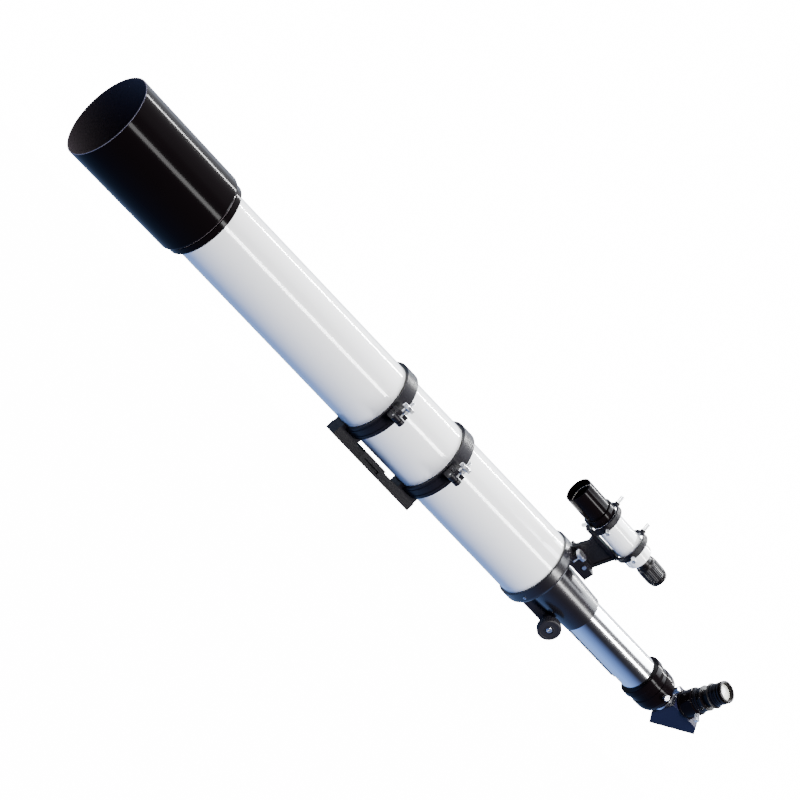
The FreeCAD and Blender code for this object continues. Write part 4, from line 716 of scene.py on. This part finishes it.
class TELESCOPE_OT_clamps(PieceOperator, bpy.types.Operator):
    """Swing bolts and knurled clamp nuts"""

    bl_idname = "telescope.clamps"
    bl_label = "Clamps"

    def build(self, sizes, stage):
        for side in RING_SIDES:
            self.bolt(f"{side}_swing_bolt", sizes)
            self.nut(f"{side}_clamp_nut", sizes)

    def bolt(self, node, sizes):
        """A threaded shank, and the eye that it swings on as a piece of its own."""
        pivot, _ = turning_axis(node)
        low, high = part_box(node)
        eye = pivot.z - low.z
        half = min(abs(end - pivot.x) for end in (low.x, high.x))
        tip = high.z - pivot.z
        tip_radii = [radius for along, radius in spread_of(node, pivot, UP) if along > tip - 0.2 * MM]
        shank = max(min(tip_radii), 2.4 * MM)
        core = shank * THREAD_ROOT
        upright = standing(pivot, UP)
        bm = bmesh.new()
        stack(bm, [(eye - 0.8 * MM, core, 0), (tip - 0.5 * MM, core, 0), (tip, shank * 0.7, 0)], 28, upright)
        thread(bm, core, shank - core, sizes.bolt_pitch, eye + 4 * MM, tip - 0.4 * MM, upright, 24)
        stand_in(bm, node, "plated", sharp=30.0)
        hole = 1.6 * MM
        face = eye - 0.02 * MM
        shoulder = eye - 0.4 * MM
        bm = bmesh.new()
        stack(bm, [(-half + 0.3 * MM, face, 0), (half - 0.3 * MM, face, 0), (half, shoulder, 0),
                   (half, hole, 0), (-half, hole, 0), (-half, shoulder, 0)],
              40, standing(pivot, X_AXIS), bored=True)
        piece(bm, node + "_eye", "cast_black", BODY_OF[node], slot="black_casting", sharp=30.0)

    def nut(self, node, sizes):
        """A knurled disc on a hub."""
        origin, axis = turning_axis(node)
        points = spread_of(node, origin, axis)
        start, end = points[0][0], points[-1][0]
        disc = max(radius for _, radius in points)
        bore = min(radius for _, radius in points)
        step = min(along for along, radius in points if radius > disc * 0.9)
        hub = max(radius for along, radius in points if along < step - 0.1 * MM)
        bm = bmesh.new()
        stack(bm, [(start, bore, 0), (start, hub - 0.4 * MM, 0), (start + 0.4 * MM, hub, 0),
                   (step - 0.8 * MM, hub, 0), (step - 0.3 * MM, hub + 0.5 * MM, 0),
                   (step, disc - 1.0 * MM, 0), (step + 0.6 * MM, disc, sizes.knurl_depth),
                   (end - 0.6 * MM, disc, sizes.knurl_depth),
                   (end, disc - 1.0 * MM, 0), (end, hub, 0), (end - 0.5 * MM, hub - 0.5 * MM, 0),
                   (end - 0.5 * MM, bore, 0)], 96, standing(origin, axis), bored=True)
        stand_in(bm, node, "plated", sharp=28.0)


class TELESCOPE_OT_tube(PieceOperator, bpy.types.Operator):
    """Main tube, lens cell, dew shield and objective"""

    bl_idname = "telescope.tube"
    bl_label = "Tube and lens"

    def build(self, sizes, stage):
        dress("white_enamel", "main_tube")
        dress("black_enamel", "lens_cell", "lens_retaining_ring", "lens_spacer", "tube_baffles")
        dress("dew_enamel", "dew_shield")
        dress("coated_glass", "objective_crown", "objective_flint")


class TELESCOPE_OT_focuser(PieceOperator, bpy.types.Operator):
    """Focuser body, cover, knobs and their screws"""

    bl_idname = "telescope.focuser"
    bl_label = "Focuser"

    def build(self, sizes, stage):
        dress("focuser_black", "focuser_body", "pinion_cover")
        dress("turned_steel", "pinion_shaft", "drawtube_rack", "pinion_cover_screws")
        for side, sign in (("left", -1), ("right", 1)):
            self.knob(f"focus_knob_{side}", sign, sizes)
        self.knob_screws()
        self.flange_screws()

    def knob(self, node, sign, sizes):
        """A ridged rim, a dished face with a raised ring, and a hub."""
        origin, axis = turning_axis(node)
        axis = axis * sign
        points = spread_of(node, origin, axis)
        start, end = points[0][0], points[-1][0]
        rim = max(radius for _, radius in points)
        bore = min(radius for _, radius in points)
        hub, ring, recess = 8.0 * MM, 7.0 * MM, 5.6 * MM
        recess_floor = end - 2.9 * MM
        ridge = 0.55 * MM
        bm = bmesh.new()
        stack(bm, [(start, bore, 0), (start, hub - 0.4 * MM, 0), (start + 0.4 * MM, hub, 0),
                   (start + 2.6 * MM, hub, 0), (start + 2.9 * MM, rim - 2.0 * MM, 0),
                   (start + 3.6 * MM, rim - 0.5 * MM, ridge), (start + 4.2 * MM, rim, ridge),
                   (end - 1.6 * MM, rim, ridge), (end - 0.7 * MM, rim - 0.5 * MM, ridge),
                   (end - 0.1 * MM, rim - 1.6 * MM, 0), (end, rim - 2.2 * MM, 0), (end, rim - 4.6 * MM, 0),
                   (end - 0.5 * MM, rim - 5.0 * MM, 0), (end - 0.6 * MM, ring + 0.4 * MM, 0),
                   (end - 0.1 * MM, ring, 0), (end - 0.1 * MM, recess + 0.3 * MM, 0),
                   (recess_floor, recess, 0), (recess_floor, bore, 0)],
              2 * sizes.knob_ridges, standing(origin, axis), bored=True)
        stand_in(bm, node, "moulded_black", sharp=30.0)

    def knob_screws(self):
        """The socket screws in the two knobs' middles."""
        node = "focus_knob_screws"
        origin, axis = turning_axis(node)
        places = [along for along, _ in spread_of(node, origin, axis)]
        heads = []
        for sign in (-1, 1):
            top = max(sign * along for along in places)
            low = min(sign * along for along in places if sign * along > 0)
            heads.append((standing(origin + axis * sign * low, axis * sign), top - low))
        stand_in(socket_screws(heads, 4.4 * MM, 1.9 * MM), node, "plated", sharp=30.0)

    def flange_screws(self):
        """Three small screws through the focuser's flange into the tube."""
        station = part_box("main_tube")[1].x + 10.5 * MM
        seat = 58.1 * MM
        count, first = 3, -46.0
        heads = []
        for number in range(count):
            angle = math.radians(first + 360.0 / count * number)
            out = Vector((0, -math.cos(angle), math.sin(angle)))
            heads.append((standing(OPTICAL_AXIS + X_AXIS * station + out * seat, out), 1.3 * MM))
        piece(socket_screws(heads, 2.3 * MM, 1.0 * MM), "flange_screws", "turned_steel", "telescope",
              slot="steel", sharp=30.0)


class TELESCOPE_OT_drawtube(PieceOperator, bpy.types.Operator):
    """Drawtube, collar, adapter and their thumbscrews"""

    bl_idname = "telescope.drawtube"
    bl_label = "Drawtube"

    def build(self, sizes, stage):
        dress("drawtube_chrome", "drawtube")
        dress("black_enamel", "drawtube_collar", "diagonal_adapter")
        for node in THUMBSCREWS:
            knurled_screw(node, sizes.screw_ridges, sizes.screw_pitch, sizes.knurl_depth)


class TELESCOPE_OT_diagonal(PieceOperator, bpy.types.Operator):
    """Star diagonal and eyepiece"""

    bl_idname = "telescope.diagonal"
    bl_label = "Diagonal and eyepiece"

    def build(self, sizes, stage):
        softened("diagonal_housing", "diagonal_black", 0.4 * MM)
        softened("diagonal_back_plate", "moulded_black", 0.4 * MM)
        dress("plated", "diagonal_nosepiece", "eyepiece_barrel")
        dress("black_enamel", "eyepiece_holder")
        dress("coated_glass", "diagonal_prism", "eyepiece_field_lens")
        dress("bright_glass", "eyepiece_eye_lens")
        self.eyepiece(sizes)

    def eyepiece(self, sizes):
        """The eyepiece's body, turned again with its grip rings."""
        node = "eyepiece_body"
        crossing, _ = turning_axis("diagonal_housing")
        slide = next(joint for joint in JOINTS if joint["child"] == BODY_OF[node])
        axis = Vector(slide["axis"]).normalized()
        outline = silhouette(node, crossing, axis)
        start, end = outline[0][0], outline[-1][0]
        bore = min(radius for _, radius in spread_of(node, crossing, axis))
        rings = [(start, bore, 0)]
        for (along, radius), (following, _) in zip(outline, outline[1:]):
            rings.append((along, radius, 0))
            share = (along - start) / (end - start)
            span = following - along
            if span > 6 * MM and 0.25 < share < 0.6:
                rings += self.grip(along, span, radius, sizes.grip_pitch)
        rings.append((end, outline[-1][1], 0))
        opening = max(radius for _, radius in spread_of("eyepiece_eye_lens", crossing, axis)) + 0.1 * MM
        lens_seat = end - 9 * MM
        rings += [(end, opening + 1.2 * MM, 0), (end - 3 * MM, opening, 0), (lens_seat, opening, 0),
                  (lens_seat, bore, 0)]
        bm = bmesh.new()
        stack(bm, rings, 96, standing(crossing, axis), bored=True)
        stand_in(bm, node, "rubber_black", sharp=30.0)

    def grip(self, start, span, radius, pitch):
        """Shallow grooves side by side along a plain stretch."""
        depth = 0.45 * MM
        count = int(span / pitch)
        rings = []
        for number in range(count):
            middle = start + span * (number + 0.5) / count
            lip = span / count * 0.28
            floor = lip * 0.6
            rings += [(middle - lip, radius, 0), (middle - floor, radius - depth, 0),
                      (middle + floor, radius - depth, 0), (middle + lip, radius, 0)]
        return rings


class TELESCOPE_OT_finder(PieceOperator, bpy.types.Operator):
    """Finder, its bracket, shoe and screws"""

    bl_idname = "telescope.finder"
    bl_label = "Finder"

    def build(self, sizes, stage):
        dress("white_enamel", "finder_tube")
        dress("black_enamel", "finder_hood")
        dress("coated_glass", "finder_objective")
        dress("bright_glass", "finder_eye_lens")
        softened("finder_bracket", "pebbly_black", sizes.edge * 0.6)
        softened("finder_shoe", "cast_black", sizes.edge * 0.6)
        dress("plated", "finder_shoe_screws")
        for node in HOOP_SCREWS + ["finder_lock_screw"]:
            knurled_screw(node, sizes.screw_ridges, sizes.screw_pitch, sizes.knurl_depth)
        self.eyepiece()
        self.retaining_ring()
        self.collar()

    def collar(self):
        """Two black rings behind the hood, up to the front hoop."""
        origin, axis = turning_axis("finder_eyepiece")
        back = spread_of("finder_hood", origin, axis)[-1][0]
        tube = max(radius for _, radius in spread_of("finder_tube", origin, axis))
        inner, outer = tube + 0.02 * MM, tube + 1.0 * MM
        for number, (start, wide) in enumerate(((0.1 * MM, 2.2 * MM), (2.7 * MM, 2.4 * MM))):
            front, end = back + start, back + start + wide
            bm = bmesh.new()
            stack(bm, [(front, inner, 0), (front, outer - 0.3 * MM, 0), (front + 0.3 * MM, outer, 0),
                       (end - 0.3 * MM, outer, 0), (end, outer - 0.3 * MM, 0), (end, inner, 0)],
                  96, standing(origin, axis), bored=True)
            piece(bm, f"finder_collar_{number + 1}", "black_enamel", "finder", slot="black_gloss", sharp=30.0)

    def eyepiece(self):
        """The finder's eyepiece: a smooth neck and a notched grip that turns to focus."""
        node = "finder_eyepiece"
        origin, axis = turning_axis(node)
        outline = silhouette(node, origin, axis)
        start, end = outline[0][0], outline[-1][0]
        bore = min(radius for _, radius in spread_of(node, origin, axis))
        widest = max(radius for _, radius in outline)
        notch = 0.55 * MM
        opening = max(radius for _, radius in spread_of("finder_eye_lens", origin, axis)) + 0.05 * MM
        rings = [(start, bore, 0)]
        for along, radius in outline:
            ridge = notch if radius > widest - 0.75 * MM else 0
            rings.append((along, radius, ridge))
        lens_seat = end - 7 * MM
        rings += [(end, opening + 0.8 * MM, 0), (end - 2.5 * MM, opening, 0), (lens_seat, opening, 0),
                  (lens_seat, bore, 0)]
        bm = bmesh.new()
        stack(bm, rings, 72, standing(origin, axis), bored=True)
        stand_in(bm, node, "rubber_black", sharp=30.0)

    def retaining_ring(self):
        """The edge of the ring that holds the finder's objective, a little way into its hood, coloured pale as a
        painted highlight of the bright arc on it.
        """
        origin, axis = turning_axis("finder_eyepiece")
        points = spread_of("finder_hood", origin, axis)
        mouth = points[0][0]
        wall = min(radius for along, radius in points if along < mouth + 1 * MM)
        front = mouth + 11.0 * MM
        back = front + 1.2 * MM
        outer, inner = wall - 0.1 * MM, wall - 1.3 * MM
        bm = bmesh.new()
        stack(bm, [(front, inner, 0), (front, outer, 0), (back, outer, 0), (back, inner, 0)],
              96, standing(origin, axis), bored=True)
        # pale cream finish: a painted highlight on the stop ring's edge
        piece(bm, "finder_hood_stop", "alloy_with_painted_highlight", "finder", slot="chrome", sharp=30.0)


class TELESCOPE_OT_stage(PieceOperator, bpy.types.Operator):
    """Floor, lights, sky and camera"""

    bl_idname = "telescope.stage"
    bl_label = "Stage"

    def build(self, sizes, stage):
        self.camera(stage)
        self.floor(stage)
        self.world()
        self.lights(stage)

    def camera(self, stage):
        back = towards_camera(stage)
        level = Vector((math.cos(stage.turn), -math.sin(stage.turn), 0))
        right = level * math.cos(stage.roll) + UP * math.sin(stage.roll)
        over = UP * math.cos(stage.roll) - level * math.sin(stage.roll)
        data = bpy.data.cameras.new("camera")
        data.sensor_width = 36.0
        data.lens = stage.lens
        data.clip_end = 500.0
        obj = bpy.data.objects.new("camera", data)
        matrix = Matrix((right, over, back)).transposed().to_4x4()
        matrix.translation = Vector(stage.target) + back * stage.distance
        obj.matrix_world = matrix
        bpy.context.scene.collection.objects.link(obj)
        bpy.context.scene.camera = obj

    def floor(self, stage):
        bm = bmesh.new()
        bmesh.ops.create_circle(bm, cap_ends=True, radius=stage.floor_radius, segments=96)
        bmesh.ops.translate(bm, verts=bm.verts, vec=(0, 0, -stage.floor_drop))
        mesh = bpy.data.meshes.new("floor")
        bm.to_mesh(mesh)
        bm.free()
        obj = bpy.data.objects.new("floor", mesh)
        bpy.context.scene.collection.objects.link(obj)
        material = bpy.data.materials.new("pale floor")
        material.use_nodes = True
        shader = Shader(material.node_tree)
        paper = shader.add("ShaderNodeBsdfDiffuse", None, Color=(0.9, 0.9, 0.9, 1.0))
        glow = shader.add("ShaderNodeEmission", None, Color=(1.0, 1.0, 1.0, 1.0), Strength=BACKDROP)
        shader.end("ShaderNodeOutputMaterial", shader.add("ShaderNodeMixShader", None, 0.97, paper, glow))
        mesh.materials.append(material)
        obj.visible_glossy = False
        obj.visible_diffuse = False
        obj.visible_transmission = False

    def world(self):
        """White all round to the eye; in reflections a light tent, dark in front and cool blue below."""
        world = bpy.data.worlds.new("studio")
        bpy.context.scene.world = world
        world.use_nodes = True
        shader = Shader(world.node_tree)
        direction = shader.other(shader.add("ShaderNodeTexCoord"), "Generated")
        _, across, height = shader.parts(direction)
        seen = shader.other(shader.add("ShaderNodeLightPath"), "Is Camera Ray")
        around = height.math("ARCTAN2", height, 0 - across) / (2 * math.pi) + 0.5
        stops = [(angle / 360 + 0.5, (*rgb, 1.0)) for angle, rgb in TENT]
        tent = shader.add("ShaderNodeValToRGB", {"stops": stops}, around)
        room = shader.add("ShaderNodeBackground", None, Color=tent, Strength=ROOM)
        paper = shader.add("ShaderNodeBackground", None, Color=(1.0, 1.0, 1.0, 1.0), Strength=BACKDROP)
        shader.end("ShaderNodeOutputWorld", shader.add("ShaderNodeMixShader", None, seen, room, paper))

    def lights(self, stage):
        white = (1.0, 1.0, 1.0)
        eye = towards_camera(stage)
        self.area("key strip", eye, 12.5, 3.2, 0.0, (4.4, 0.42), stage.key, white)
        self.area("rim strip", eye, 57.0, 3.2, 0.0, (4.4, 0.10), stage.rim, white)
        self.area("overhead", eye, 43.0, 1.5, 0.49, (0.38, 1.35), stage.fill, (0.90, 0.94, 1.0))

    def area(self, name, eye, around, distance, along, size, power, tint):
        """A strip along the tube, where the camera sees its glint at an angle round the tube."""
        angle = math.radians(around)
        normal = Vector((0, -math.cos(angle), math.sin(angle)))
        towards = 2 * eye.dot(normal) * normal - eye
        data = bpy.data.lights.new(name, "AREA")
        data.shape = "RECTANGLE"
        data.size, data.size_y = size
        data.energy = power
        data.color = tint
        back = Vector((0, towards.y, towards.z)).normalized()
        matrix = Matrix((X_AXIS, back.cross(X_AXIS), back)).transposed().to_4x4()
        matrix.translation = OPTICAL_AXIS + towards * distance + X_AXIS * along
        obj = bpy.data.objects.new(name, data)
        obj.matrix_world = matrix
        obj.visible_camera = False
        bpy.context.scene.collection.objects.link(obj)


class TELESCOPE_PT_pieces(bpy.types.Panel):
    """The telescope's pieces, in the order that they are built"""

    bl_idname = "TELESCOPE_PT_pieces"
    bl_label = "Refractor Telescope"
    bl_space_type = "VIEW_3D"
    bl_region_type = "UI"
    bl_category = "Telescope"

    def draw(self, context):
        for operator in OPERATORS:
            self.layout.operator(operator.bl_idname)
        for group in settings():
            box = self.layout.box()
            for name in group.bl_rna.properties.keys():
                if name not in ("rna_type", "name"):
                    box.prop(group, name)


OPERATORS = (TELESCOPE_OT_stage, TELESCOPE_OT_cradle, TELESCOPE_OT_clamps, TELESCOPE_OT_tube,
             TELESCOPE_OT_focuser, TELESCOPE_OT_drawtube, TELESCOPE_OT_diagonal, TELESCOPE_OT_finder)
GROUPS = {"telescope_colours": TelescopeColours, "telescope_sizes": TelescopeSizes,
          "telescope_stage": TelescopeStage}


def register():
    for group in GROUPS.values():
        bpy.utils.register_class(group)
    for name, group in GROUPS.items():
        setattr(bpy.types.Scene, name, PointerProperty(type=group))
    for operator in OPERATORS:
        bpy.utils.register_class(operator)
    bpy.utils.register_class(TELESCOPE_PT_pieces)


def unregister():
    bpy.utils.unregister_class(TELESCOPE_PT_pieces)
    for operator in reversed(OPERATORS):
        bpy.utils.unregister_class(operator)
    for name, group in GROUPS.items():
        delattr(bpy.types.Scene, name)
        bpy.utils.unregister_class(group)


def main():
    register()
    for operator in OPERATORS:
        family, name = operator.bl_idname.split(".")
        getattr(getattr(bpy.ops, family), name)()


if __name__ == "__main__":
    main()
